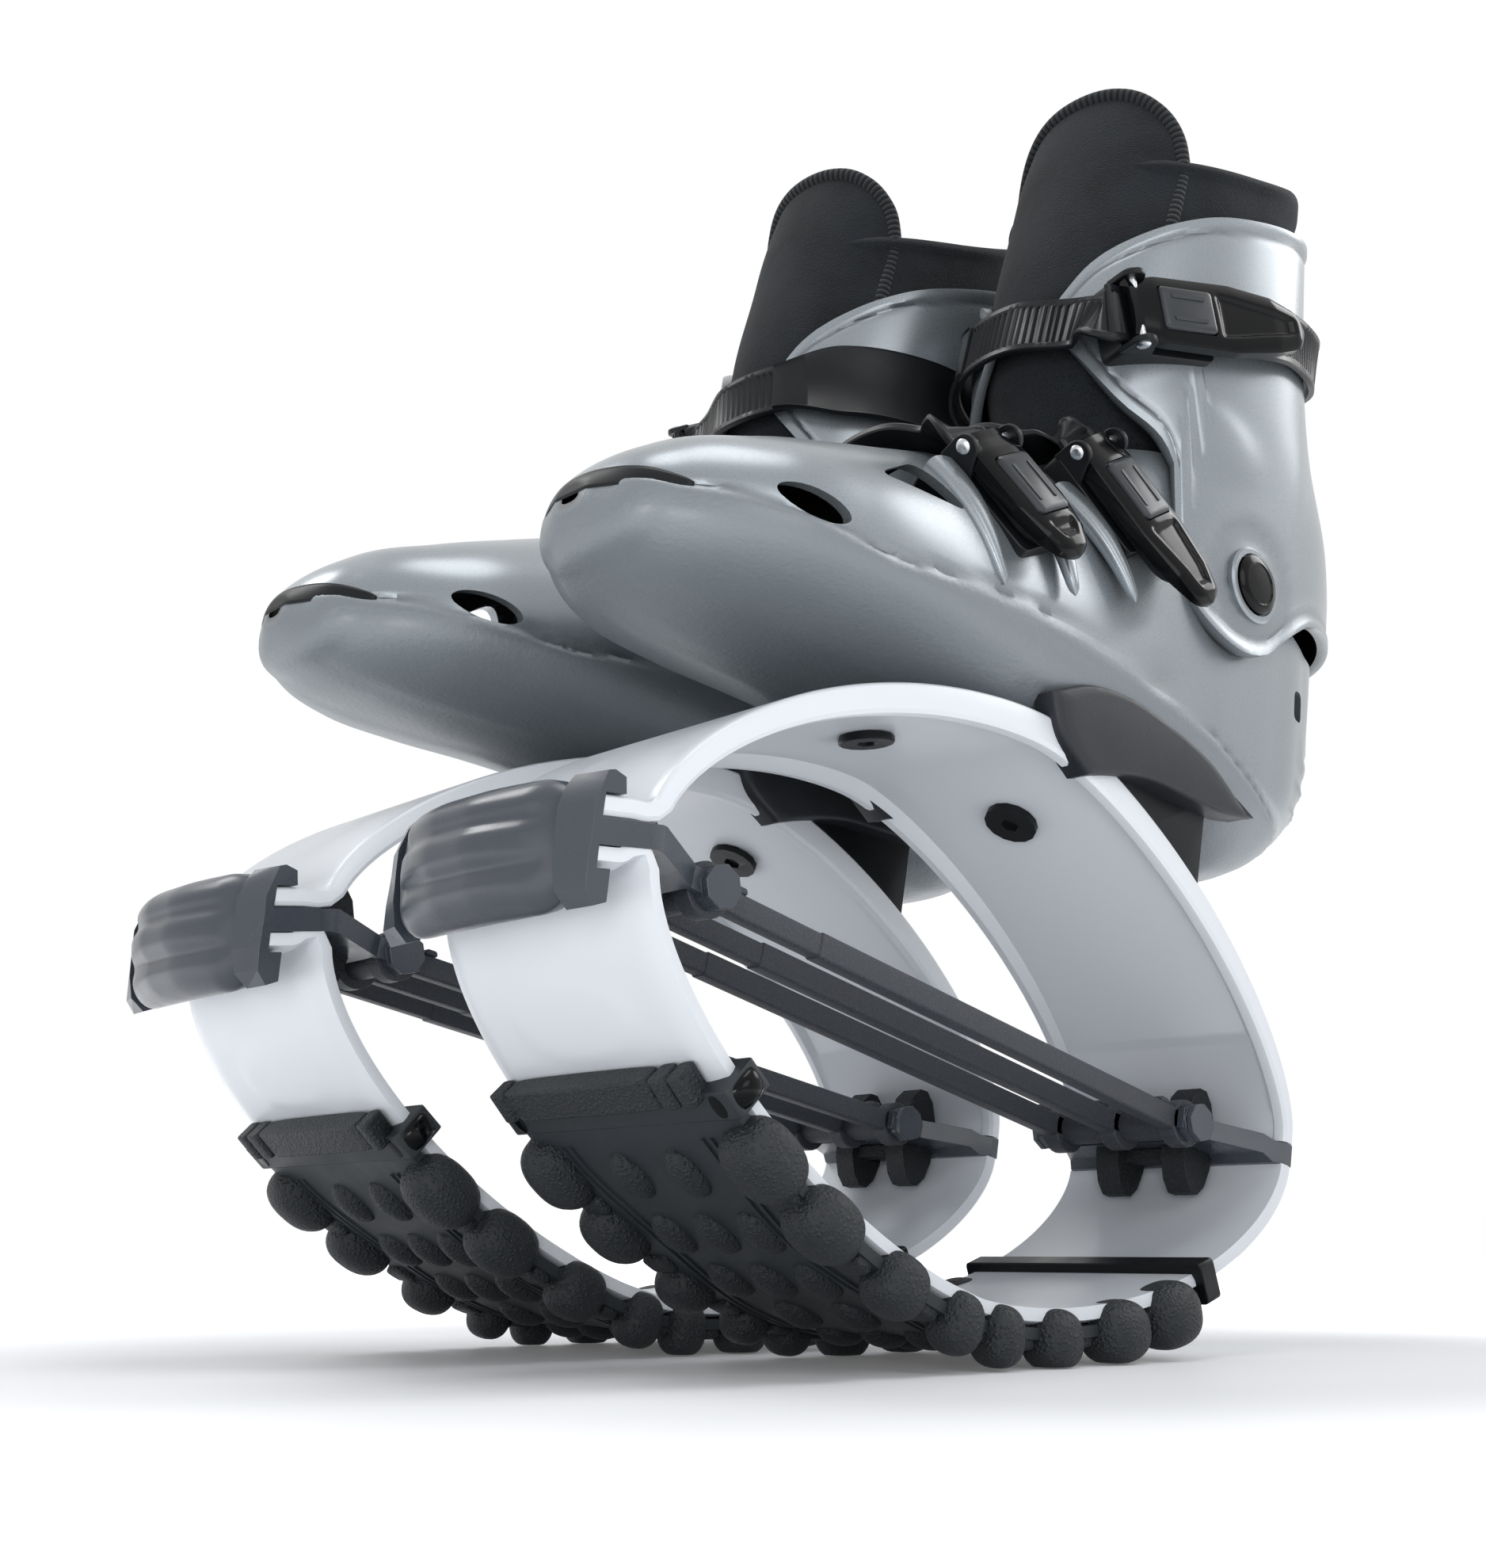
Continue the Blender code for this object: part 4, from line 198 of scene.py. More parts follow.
# Heel pad blade: toe end, over the top to the tip, back along the low edge, and up; X and Z.
PAD_BLADE = np.array((
    (6.7, 97.0), (-10.0, 106.7), (-27.8, 110.7), (-49.5, 110.5), (-72.2, 107.5), (-94.0, 97.5),
    (-83.4, 94.2), (-61.4, 91.3), (-40.0, 88.4), (-26.0, 83.9), (-12.8, 78.2), (0.2, 85.4), (6.7, 97.0),
))
PAD_BLOCK_HALF = 38.0
# Heights between which the soft leg was to go over from the foot to the cuff; make_piece works out ends from
# them that nothing uses.
LEG_BLEND = (152.0, 214.0)
LEG_BODY = ("boot", "shin_cuff", "up")
# Strap routes over the skins: angle, place and clearance.
SHIN_TAIL = ((158, 295.0, 3.4), (138, 289.5, 3.4), (120, 283.0, 3.2), (104, 278.0, 3.2))
SHIN_WRAP = (
    (26, 244.0, 5.4), (2, 246.0, 6.0), (-24, 249.5, 4.6), (-50, 254.5, 3.4), (-74, 259.0, 2.4),
    (-90, 261.5, 2.0),
)
ANKLE_WRAP = (
    (66, 0.0, 5.0), (86, 5.0, 3.0), (106, 5.0, 2.8), (128, 0.0, 2.8), (150, -8.0, 2.6), (168, -15.0, 2.6),
)
TOE_WRAP = (
    (62, 45.0, 4.6), (82, 48.0, 3.0), (100, 48.0, 2.8), (122, 44.0, 2.8), (145, 36.0, 2.6),
    (166, 27.0, 2.6),
)
# The silver horns beside the levers: top and tip.
HORNS = (
    ((54.5, 31.0, 151.0), (37.0, 47.5, 115.0)), ((22.5, 32.0, 167.5), (7.0, 48.0, 126.5)),
    ((-2.0, 28.0, 175.0), (-23.0, 46.0, 140.0)),
)

# Area lamps: name, place in metres, size and power.
LAMPS = (
    ("key", (0.7, -1.0, 1.7), 0.8, 11.0), ("fill", (0.2, 1.6, 0.8), 1.0, 6.0),
    ("front", (1.7, 0.5, 0.3), 1.0, 2.0), ("back", (-1.3, 0.5, 1.2), 0.8, 7.0),
    ("top", (0.0, 0.2, 2.0), 1.0, 9.0), ("low", (1.2, 1.05, 0.24), 0.4, 4.0),
)
# The world's own light, seen by what isn't a camera, glossy or transmission ray.
WORLD_COLOUR, WORLD_STRENGTH = (0.92, 0.95, 1.0, 1), 0.34
# The floor's glow: distances from the middle in metres between which it rises, and its strength at each.
GLOW_NEAR, GLOW_FAR, GLOW_LOW, GLOW_HIGH = 0.2, 0.5, 0.08, 1.0
LAMP_AIM = np.array((0.0, 0.0, 0.2))
FLOOR_SIZE = 12.0
ACROSS = np.array((0.0, 1.0, 0.0))


# ---------------------------------------------------------------- arrays


def unit(v):
    """Vectors over their own length."""
    return v / np.maximum(np.linalg.norm(v, axis=-1, keepdims=True), 1e-12)


def ramp(x, low, high):
    """Rises smoothly from 0 at low to 1 at high, as 3t² - 2t³."""
    t = np.clip((x - low) / (high - low), 0, 1)
    return t * t * (3 - 2 * t)


def power_pair(angle, power):
    """Cosine and sine of a superellipse: each is its own sign times its size to the power 2/p."""
    c, s = np.cos(angle), np.sin(angle)
    return np.sign(c) * np.abs(c) ** (2 / power), np.sign(s) * np.abs(s) ** (2 / power)


def hermite(x, xs, ys):
    """A smooth curve through a table: cubic Hermite pieces with slopes from its neighbours."""
    ys = np.asarray(ys, float)
    if ys.ndim == 1:
        ys = ys[:, None]
    slopes = np.gradient(ys, xs, axis=0)
    k = np.clip(np.searchsorted(xs, x) - 1, 0, len(xs) - 2)
    h = (xs[k + 1] - xs[k])[..., None]
    t = np.clip((x - xs[k])[..., None] / h, 0, 1)
    a, b = 2 * t**3 - 3 * t**2 + 1, t**3 - 2 * t**2 + t
    c, d = 3 * t**2 - 2 * t**3, t**3 - t**2
    out = a * ys[k] + b * h * slopes[k] + c * ys[k + 1] + d * h * slopes[k + 1]
    return out[..., 0] if out.shape[-1] == 1 else out


def distance(points):
    """How far along its line each point is: the running sum of the steps between points."""
    return np.concatenate(([0], np.cumsum(np.linalg.norm(np.diff(points, axis=0), axis=1))))


def even(points, count):
    """The same line read at even steps of its length."""
    far = distance(points)
    reads = np.linspace(0, far[-1], count)
    return np.stack([np.interp(reads, far, column) for column in points.T], axis=1)


def eased(points, width):
    """A line with its bends eased: each point becomes the mean of its neighbours, the ends stay."""
    padded = np.vstack((np.repeat(points[:1], width, 0), points, np.repeat(points[-1:], width, 0)))
    kernel = np.ones(2 * width + 1) / (2 * width + 1)
    soft = np.stack([np.convolve(column, kernel, "valid") for column in padded.T], axis=1)
    soft[0], soft[-1] = points[0], points[-1]
    return soft


def spline(points, count):
    """A smooth line through points, read at even steps: Hermite over the distance along them."""
    points = np.asarray(points, float)
    far = distance(points[:, :3])
    return even(hermite(np.linspace(0, far[-1], count * 4), far, points), count)


def arc(centre, radius, start, end, count=9):
    """Points on a circle's arc, in degrees."""
    a = np.radians(np.linspace(start, end, count))
    return np.stack((centre[0] + radius * np.cos(a), centre[1] + radius * np.sin(a)), axis=1)


def filleted(corners, radius, count=5):
    """An outline with each corner replaced by a quadratic curve that starts radius before it."""
    p = np.asarray(corners, float)
    before, after = np.roll(p, 1, 0) - p, np.roll(p, -1, 0) - p
    size = np.minimum(radius,
                      0.45 * np.minimum(np.linalg.norm(before, axis=1), np.linalg.norm(after, axis=1)))
    a, b = p + unit(before) * size[:, None], p + unit(after) * size[:, None]
    t = np.linspace(0, 1, count)[None, :, None]
    return ((1 - t) ** 2 * a[:, None] + 2 * t * (1 - t) * p[:, None] + t**2 * b[:, None]).reshape(-1, 2)


def grid_normals(points):
    """Unit normals of a grid of points, from the cross product of its two slopes."""
    return unit(np.cross(np.gradient(points, axis=0), np.gradient(points, axis=1)))


def outward_normals(points):
    """Normals of a tube's grid, each turned away from the middle of its own ring."""
    normal = grid_normals(points)
    centre = points.mean(axis=1, keepdims=True)
    return normal * np.sign(np.sum(normal * (points - centre), axis=-1, keepdims=True))


def rings_at(outline, places, axis=1):
    """A flat outline, or one for each place, set down at places along an axis of three."""
    outline = np.asarray(outline, float)
    rings = np.zeros((len(places), outline.shape[-2], 3))
    first, second = (k for k in range(3) if k != axis)
    rings[..., first], rings[..., second] = outline[..., 0], outline[..., 1]
    rings[..., axis] = np.asarray(places, float)[:, None]
    return rings


def around(count):
    """Angles once round, in radians; the last one stops short of the first."""
    return np.linspace(0, 2 * math.pi, count, endpoint=False)


def circles(radii, count):
    """Circles about the origin, one for each radius."""
    a = around(count)
    return np.asarray(radii, float)[:, None, None] * np.stack((np.cos(a), np.sin(a)), axis=1)


def sweep(centre, across, up, wide, high):
    """Carries a section along a line: its points lie wide across and high up from each centre."""
    return centre[:, None] + across[:, None] * wide[..., None] + up[:, None] * high[..., None]


def rounded_end(used, power, least=0.0):
    """Share of a half width left where a share of a rounded end is used up."""
    return np.sqrt(np.clip(1 - np.clip(used, 0, 1) ** power, least, 1))


# ---------------------------------------------------------------- pieces


def boot_matrix(side):
    """Boot millimetres to the row frame: X along the line between the pins, the right boot mirrored."""
    ends = []
    for end in ("front", "rear"):
        low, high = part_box(f"{side}_{end}_pin")
        ends.append(np.array((low + high) / 2))
    x = unit(ends[0] - ends[1])
    y = unit(np.cross((0, 0, 1), x))
    z = np.cross(x, y)
    matrix = np.eye(4)
    matrix[:3, 0], matrix[:3, 1], matrix[:3, 2] = x * MM, y * MM * (1 if side == "left" else -1), z * MM
    matrix[:3, 3] = (ends[0] + ends[1]) / 2
    return matrix


BOOTS = {side: boot_matrix(side) for side in SIDES}


def to_row(side, points):
    """Boot millimetres to row metres, never below the floor."""
    matrix = BOOTS[side]
    world = np.asarray(points, float) @ matrix[:3, :3].T + matrix[:3, 3]
    world[..., 2] = np.maximum(world[..., 2], 0)
    return world


def grid_faces(rows, columns, wrap_rows=False, wrap_columns=False):
    """Quads of a grid of points."""
    i = np.arange(rows if wrap_rows else rows - 1)[:, None]
    j = np.arange(columns if wrap_columns else columns - 1)[None, :]
    k, m = (i + 1) % rows, (j + 1) % columns
    return np.stack((i * columns + j, i * columns + m, k * columns + m, k * columns + j), -1).reshape(-1, 4)


class Shape:
    """Points and faces of one piece, joined from several grids."""

    def __init__(self):
        """An empty piece."""
        self.points, self.faces, self.marks, self.count = [], [], {}, 0

    def add(self, points, faces, **marks):
        """Points, faces that count from the first of them, and a value for each point under each mark."""
        points = np.asarray(points, float).reshape(-1, 3)
        self.points.append(points)
        self.faces += [tuple(int(v) + self.count for v in face) for face in faces]
        for key, values in marks.items():
            self.marks.setdefault(key, []).append((self.count, np.asarray(values, float).ravel()))
        self.count += len(points)
        return self

    def grid(self, points, wrap_rows=False, wrap_columns=False, **marks):
        """A surface as a function of two parameters."""
        rows, columns = points.shape[:2]
        return self.add(points, grid_faces(rows, columns, wrap_rows, wrap_columns), **marks)

    def tube(self, rings, **marks):
        """Rings of points with a flat cap at each end."""
        rows, columns = rings.shape[:2]
        faces = grid_faces(rows, columns, wrap_columns=True).tolist()
        faces += [list(range(columns))[::-1], list(range((rows - 1) * columns, rows * columns))]
        return self.add(rings, faces, **marks)

    def slab(self, outline, low, high, axis=1):
        """A flat outline carried along an axis from low to high."""
        return self.tube(rings_at(outline, (low, high), axis))

    def ellipsoid(self, centre, axes, radii, power=2.0, cross=2.0, rows=14, columns=24):
        """A superellipsoid: a superellipse turned about its third axis, with its poles closed."""
        a = np.linspace(-math.pi / 2, math.pi / 2, rows)
        ca, sa = power_pair(a, cross)
        cb, sb = power_pair(around(columns), power)
        local = np.stack((np.outer(ca, cb), np.outer(ca, sb), np.outer(sa, np.ones(columns))), -1)
        return self.grid(np.asarray(centre) + (local * np.asarray(radii)) @ np.asarray(axes, float),
                         wrap_columns=True)


def in_scene(name, data):
    """A new object of the scene that shows the data."""
    thing = bpy.data.objects.new(name, data)
    bpy.context.scene.collection.objects.link(thing)
    return thing


def finished(name, mesh, finish, smooth):
    """A mesh as a piece of the scene: smooth but for edges past an angle in degrees, with its finish."""
    mesh.shade_smooth()
    mesh.set_sharp_from_angle(angle=math.radians(smooth))
    mesh.materials.append(FINISHES[finish])
    return in_scene(name, mesh)


def ease_edges(piece, width, angle=32):
    """Rounds the edges of a piece that are sharper than an angle in degrees; the width is in millimetres."""
    edge = piece.modifiers.new("edge", "BEVEL")
    edge.width, edge.segments, edge.limit_method = width * MM, 2, "ANGLE"
    edge.angle_limit = math.radians(angle)


def make_piece(side, name, shape, finish, body, replaces=(), bevel=0.0, wall=0.0, smooth=40):
    """Sets a shape down on one boot: mesh, finish, body and replaced nodes.

    A body is a name; given as two names and a way ("up" the leg, or forwards (1) or backwards (-1) along the
    spring), it joins the piece to no body, and the ends worked out from the way are not used: the piece is
    only baked in place. A wall in millimetres makes an open surface solid.
    """
    points = to_row(side, np.vstack(shape.points))
    mesh = bpy.data.meshes.new(f"{side}_{name}")
    mesh.from_pydata(points.tolist(), [], shape.faces)
    for key, parts in shape.marks.items():
        values = np.zeros(len(points), np.float32)
        for start, part in parts:
            values[start : start + len(part)] = part
        mesh.attributes.new(key, "FLOAT", "POINT").data.foreach_set("value", values)
    work = bmesh.new()
    work.from_mesh(mesh)
    bmesh.ops.remove_doubles(work, verts=work.verts, dist=2e-6)
    bmesh.ops.dissolve_degenerate(work, dist=1e-7, edges=work.edges)
    bmesh.ops.recalc_face_normals(work, faces=work.faces)
    centre = np.array(points.mean(axis=0))
    outward = sum(f.normal.dot(f.calc_center_median() - type(f.normal)(centre)) * f.calc_area()
                  for f in work.faces)
    if (work.calc_volume(signed=True) < 0 and not wall) or (wall and outward < 0):
        bmesh.ops.reverse_faces(work, faces=work.faces)
    work.to_mesh(mesh)
    work.free()
    piece = finished(f"{side}_{name}", mesh, finish, smooth)
    if wall:
        thick = piece.modifiers.new("wall", "SOLIDIFY")
        thick.thickness, thick.offset = wall * MM, -1
    if bevel:
        ease_edges(piece, bevel)
    if isinstance(body, str):
        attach(piece, f"{side}_{body}")
    else:
        first, second, way = body
        if way == "up":
            ends = [to_row(side, (PIVOT[0], 0, z)) for z in LEG_BLEND]
        else:
            ends = [to_row(side, (way * x, 0, 100.0)) for x in (BLEND_START, BLEND_END)]
        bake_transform(piece)
    if replaces:
        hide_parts(*[f"{side}_{node}" for node in replaces])
    return piece


# ---------------------------------------------------------------- materials


class Tree:
    """A node material under construction."""

    def __init__(self, name):
        """A new material with its shader and the object's own coordinates."""
        self.material = bpy.data.materials.new(name)
        self.material.use_nodes = True
        self.tree = self.material.node_tree
        self.shader = self.tree.nodes["Principled BSDF"]
        self.place = self.node("ShaderNodeTexCoord").outputs["Object"]

    def node(self, kind, values=None, **settings):
        """A new node with its settings and the values or links of its inputs."""
        node = self.tree.nodes.new(kind)
        for key, value in settings.items():
            setattr(node, key, value)
        for key, value in (values or {}).items():
            self.plug(value, node.inputs[key])
        return node

    def plug(self, value, socket):
        """Links an output to an input, or sets the input to a plain value."""
        if isinstance(value, bpy.types.NodeSocket):
            self.tree.links.new(value, socket)
        else:
            socket.default_value = value

    def math(self, kind, a, b=0.0, c=0.0):
        """The result of a sum of up to three values."""
        return self.node("ShaderNodeMath", {0: a, 1: b, 2: c}, operation=kind).outputs[0]

    def noise(self, scale, detail=2.0, rough=0.5, vector=None):
        """Soft noise from 0 to 1."""
        return self.node("ShaderNodeTexNoise", {
            "Scale": scale, "Detail": detail, "Roughness": rough,
            "Vector": vector or self.place}).outputs["Fac"]

    def cells(self, scale):
        """Distance from the middle of the nearest cell."""
        return self.node("ShaderNodeTexVoronoi", {"Scale": scale, "Vector": self.place}).outputs["Distance"]

    def span(self, value, low, high, out_low=0.0, out_high=1.0):
        """A value carried smoothly from one range to another."""
        return self.node("ShaderNodeMapRange", {
            "Value": value, "From Min": low, "From Max": high, "To Min": out_low, "To Max": out_high},
            interpolation_type="SMOOTHSTEP").outputs[0]

    def mark(self, name):
        """A mark that a shape carries on its points."""
        return self.node("ShaderNodeAttribute", attribute_name=name).outputs["Fac"]

    def mix(self, factor, first, second):
        """The second colour over the first, by a factor."""
        node = self.node("ShaderNodeMix", data_type="RGBA")
        self.plug(factor, node.inputs[0])
        self.plug(first, node.inputs[6])
        self.plug(second, node.inputs[7])
        return node.outputs[2]

    def bump(self, height, distance, strength=1.0, normal=None):
        """A normal tipped by a height; the distance is in metres."""
        values = {"Height": height, "Distance": distance, "Strength": strength}
        if normal is not None:
            values["Normal"] = normal
        return self.node("ShaderNodeBump", values).outputs[0]

    def set(self, **values):
        """The material, with the shader's inputs set."""
        for key, value in values.items():
            self.plug(value, self.shader.inputs[key.replace("_", " ")])
        return self.material


def linear(red, green, blue):
    """A screen colour of 0 to 255 as a linear colour."""
    screen = np.array((red, green, blue)) / 255
    return tuple(float(v)
                 for v in np.where(screen > 0.04045, ((screen + 0.055) / 1.055) ** 2.4,
                                   screen / 12.92)) + (1,)


def plastic(name, colour, rough, grain=0.00002, coat=0.0, gleam=0.5, shift=0.06):
    """Moulded plastic: one colour with a slight drift, a fine skin grain and a wear of the gloss."""
    t = Tree(name)
    drift = t.noise(14.0, 3.0)
    darker = tuple(v * (1 - shift) for v in colour[:3]) + (1,)
    tint = t.mix(drift, darker, colour)
    gloss = t.span(t.noise(60.0, 4.0, 0.6), 0.3, 0.75, max(rough - 0.05, 0.03), rough + 0.06)
    skin = t.bump(t.noise(1500.0, 2.0), grain, 0.5)
    return t.set(Base_Color=tint, Roughness=gloss, Normal=skin, Specular_IOR_Level=gleam, Coat_Weight=coat,
                 Coat_Roughness=0.12)


def rubber(name, colour, rough, cell, depth):
    """Grained rubber: pebbles from Voronoi cells, with noise over them; the gaps between pebbles are painted
    darker, as painted shade.
    """
    t = Tree(name)
    pebble_and_shade = t.span(t.cells(cell), 0.0, 0.62, 1.0, 0.0)
    fine = t.noise(cell * 4, 3.0, 0.6)
    height = t.math("ADD", pebble_and_shade, t.math("MULTIPLY", fine, 0.35))
    normal = t.bump(height, depth)
    # Painted shade: the colour falls to 0.72 in the low gaps between the pebbles.
    tint = t.mix(pebble_and_shade, tuple(v * 0.72 for v in colour[:3]) + (1,), colour)
    return t.set(Base_Color=tint, Roughness=t.span(fine, 0.2, 0.8, rough - 0.06, rough + 0.08), Normal=normal,
                 Specular_IOR_Level=0.3)


def silver_plastic(name, colour):
    """Pearly silver plastic: a little metal flake under a clear coat.

    Inner faces are painted near black and grooves darker, both as painted shade.
    """
    t = Tree(name)
    flake = t.noise(2600.0, 1.0)
    drift = t.noise(9.0, 3.0)
    tint = t.mix(drift, tuple(v * 0.93 for v in colour[:3]) + (1,), colour)
    # Painted shade: the inner faces, under the mark dark, are mixed to near black.
    tint = t.mix(t.mark("dark"), tint, linear(24, 25, 27))
    # Painted shade: the grooves are mixed 0.6 of the way to a darker grey.
    tint = t.mix(t.math("MULTIPLY", t.mark("groove"), 0.6), tint, linear(70, 74, 78))
    grained = t.mark("grained")
    tint = t.mix(t.math("MULTIPLY", grained, 0.7), tint, linear(100, 107, 112))
    rough = t.math("MULTIPLY_ADD", grained, 0.16, t.span(flake, 0.3, 0.7, 0.27, 0.36))
    normal = t.bump(t.noise(1300.0, 2.0), 0.00002, 0.4)
    normal = t.bump(t.math("MULTIPLY", t.noise(620.0, 4.0, 0.65), grained), 0.0005, 0.6, normal)
    # The same painted shade takes the metal off the inner faces.
    metal = t.math("MULTIPLY_ADD", t.mark("dark"), -0.62, 0.62)
    return t.set(Base_Color=tint, Roughness=rough, Normal=normal,
                 Metallic=t.math("MULTIPLY_ADD", grained, -0.34, metal),
                 Coat_Weight=0.25, Coat_Roughness=0.22)


def neoprene(name):
    """Liner cloth: fine pores with a soft nap; the pores' pits are painted darker, as painted shade."""
    t = Tree(name)
    pore_and_shade = t.span(t.cells(1150.0), 0.05, 0.5, 0.0, 1.0)
    fold = t.noise(45.0, 3.0)
    # Painted shade: the colour is darkest in each pore's pit, where the bump is lowest.
    tint = t.mix(pore_and_shade, linear(15, 17, 20), linear(31, 34, 38))
    tint = t.mix(t.span(fold, 0.35, 0.7), tint, linear(23, 25, 28))
    normal = t.bump(fold, 0.0012, 0.4, t.bump(pore_and_shade, 0.00022))
    return t.set(Base_Color=tint, Roughness=0.88, Normal=normal, Sheen_Weight=0.06, Sheen_Roughness=0.5,
                 Specular_IOR_Level=0.12)


def knit(name):
    """Knitted piping: ribs across the tape from a sine of its own length attribute, painted darker in their
    troughs as painted shade.
    """
    t = Tree(name)
    rib = t.math("SINE", t.math("MULTIPLY", t.mark("along"), 2600.0))
    rib = t.span(rib, -1.0, 1.0)
    # Painted shade: the colour is darkest in the troughs between ribs and lightest on their crests.
    tint = t.mix(rib, linear(13, 14, 16), linear(38, 41, 44))
    return t.set(Base_Color=tint, Roughness=0.85, Normal=t.bump(rib, 0.0004), Sheen_Weight=0.1,
                 Specular_IOR_Level=0.15)


def steel(name):
    """Brushed steel: noise drawn out along one way drives the gloss."""
    t = Tree(name)
    stretch = t.node("ShaderNodeMapping", {"Vector": t.place, "Scale": (1.0, 14.0, 14.0)}).outputs[0]
    streak = t.noise(260.0, 3.0, 0.6, stretch)
    tint = t.mix(streak, linear(176, 180, 184), linear(206, 209, 212))
    return t.set(Base_Color=tint, Metallic=1.0, Roughness=t.span(streak, 0.3, 0.7, 0.2, 0.34),
                 Normal=t.bump(streak, 0.00002, 0.5))


def plain(name, colour, rough):
    """Stage paper: an even colour with a faint tooth. It glows, more so further out, which lights the shoes
    too."""
    t = Tree(name)
    tooth = t.noise(900.0, 3.0)
    tint = t.mix(tooth, tuple(v * 0.99 for v in colour[:3]) + (1,), colour)
    away = t.node("ShaderNodeVectorMath", operation="LENGTH")
    t.plug(t.place, away.inputs[0])
    glow = t.span(away.outputs["Value"], GLOW_NEAR, GLOW_FAR, GLOW_LOW, GLOW_HIGH)
    return t.set(Base_Color=tint, Roughness=rough, Normal=t.bump(tooth, 0.00001, 0.3),
                 Emission_Color=(1.0, 1.0, 1.0, 1),
                 Emission_Strength=glow, Specular_IOR_Level=0.2)


FINISHES = {
    "silver": silver_plastic("silver_shell", linear(134, 141, 146)),
    "white": plastic("white_shell", linear(214, 218, 223), 0.36, grain=0.00001, coat=0.1, gleam=0.4,
                     shift=0.012),
    "grey": plastic("satin_grey", linear(58, 63, 71), 0.3, grain=0.00003, gleam=0.5),
    "black": plastic("gloss_black", linear(7, 8, 10), 0.13, grain=0.00001, gleam=0.14),
    "satin": plastic("satin_black", linear(15, 17, 20), 0.4, grain=0.00004, gleam=0.2),
    "blade": plastic("blade_rubber", linear(32, 35, 40), 0.46, grain=0.00008, gleam=0.3),
    "strap": plastic("ladder_strap", linear(20, 22, 25), 0.34, grain=0.00004, gleam=0.22),
    "button": plastic("button_grey", linear(42, 45, 49), 0.34, gleam=0.3),
    "base": plastic("tread_base", linear(38, 43, 47), 0.48, grain=0.00006, gleam=0.35),
    "rubber": rubber("grained_rubber", linear(42, 46, 50), 0.5, 900.0, 0.00035),
    "bumper": rubber("bumper_rubber", linear(36, 38, 42), 0.6, 900.0, 0.00018),
    "elastic": rubber("strap_rubber", linear(66, 69, 75), 0.5, 1300.0, 0.0001),
    "cloth": neoprene("liner_neoprene"),
    "knit": knit("knitted_piping"),
    "steel": steel("pin_steel"),
}


# ---------------------------------------------------------------- spring shells


def hook_point(u, v):
    """Hook coordinates to boot X and Z: turned by the hook's tilt and moved to its place."""
    c, s = math.cos(HOOK_TILT), math.sin(HOOK_TILT)
    return np.array((HOOK_ORIGIN[0] + u * c - v * s, HOOK_ORIGIN[1] + u * s + v * c))


def round_front(points):
    """Boot points with the front housing rounded in plan: each moves back along the tipped hook frame by
    the depth times its share across times the square of its share ahead."""
    points = np.array(points, float)
    ahead = np.clip((points[..., 0] - (HOOK_ORIGIN[0] - ROUND_START)) / ROUND_REACH, 0, 1)
    share = np.abs(points[..., 1]) / SHELL_HALF_WIDTH
    fall = np.clip((share - ROUND_FLAT) / (1 - ROUND_FLAT), 0, 1) ** ROUND_POWER
    move = ROUND_DEPTH * fall * ahead**2
    points[..., 0] -= move * math.cos(HOOK_TILT)
    points[..., 2] -= move * math.sin(HOOK_TILT)
    return points


def round_lip(rings):
    """A shell's rings moved back at the front as its side edge is, the same for the whole width."""
    moved = rings.copy()
    moved[..., 1] = SHELL_HALF_WIDTH
    moved = round_front(moved)
    moved[..., 1] = rings[..., 1]
    return moved


def shell_height(x, shell):
    """Height of a shell's outer face: 6.5 mm + rise · (1 - |x/a|^p)^(1/p), with its sign."""
    share = np.clip(np.abs(np.asarray(x, float)) / SHELL_HALF, 0, 1)
    rise, power = shell["rise"], shell["power"]
    return math.copysign(SHELL_END, rise) + rise * (1 - share**power) ** (1 / power)


def shell_frame(x, shell):
    """The point on a shell's outer face at x, the way along its slope, and the way out of the spring."""
    slope = shell_height(x + 0.5, shell) - shell_height(x - 0.5, shell)
    along = unit(np.array((1.0, 0.0, slope)))
    out = np.array((along[2], 0, -along[0])) * (1 if shell["rise"] < 0 else -1)
    return np.array((x, 0.0, shell_height(x, shell))), along, out


def shell_line(shell, count=150):
    """Outer line of a shell from the rear edge over the arc and round the bend to the lip's end."""
    angle = np.linspace(math.pi, 0.0, 400)
    c, s = power_pair(angle, shell["power"])
    x, z = SHELL_HALF * c, math.copysign(SHELL_END, shell["rise"]) + shell["rise"] * np.abs(s)
    slope = np.arctan2(np.abs(z) - SHELL_END, SHELL_HALF - np.abs(x))
    keep = (x < 0) | (slope > 0.55)
    line = np.stack((x, z), axis=1)[keep]
    lip_start = hook_point(shell["start"], shell["lip"])
    lip_end = hook_point(LIP_END, shell["lip"])
    full = np.vstack(((-SHELL_HALF, shell["rear"]), line, lip_start, lip_end))
    full = eased(even(full, 420), 3)
    return even(full, count)


def line_normals(line, inward_to=(0.0, 0.0)):
    """Unit normals of a line, turned towards a point."""
    tangent = unit(np.gradient(line, axis=0))
    normal = np.stack((-tangent[:, 1], tangent[:, 0]), axis=1)
    flip = np.sum(normal * (np.asarray(inward_to) - line), axis=1) < 0
    # One sign for the whole line, taken from its middle.
    return -normal if flip[len(line) // 2] else normal


def shell_half(shell, sign):
    """One half of a shell's outer line, split at x = 0."""
    line = shell_line(shell)
    normal = line_normals(line)
    keep = line[:, 0] * sign >= -1.0
    return line[keep], normal[keep]


def loft_section(line, normal, sections):
    """Carries a section (y, depth) along a line; one section for each point."""
    y, depth = sections[..., 0], sections[..., 1]
    rings = np.zeros(y.shape + (3,))
    rings[..., 0] = line[:, None, 0] + normal[:, None, 0] * depth
    rings[..., 1] = y
    rings[..., 2] = line[:, None, 1] + normal[:, None, 1] * depth
    return rings


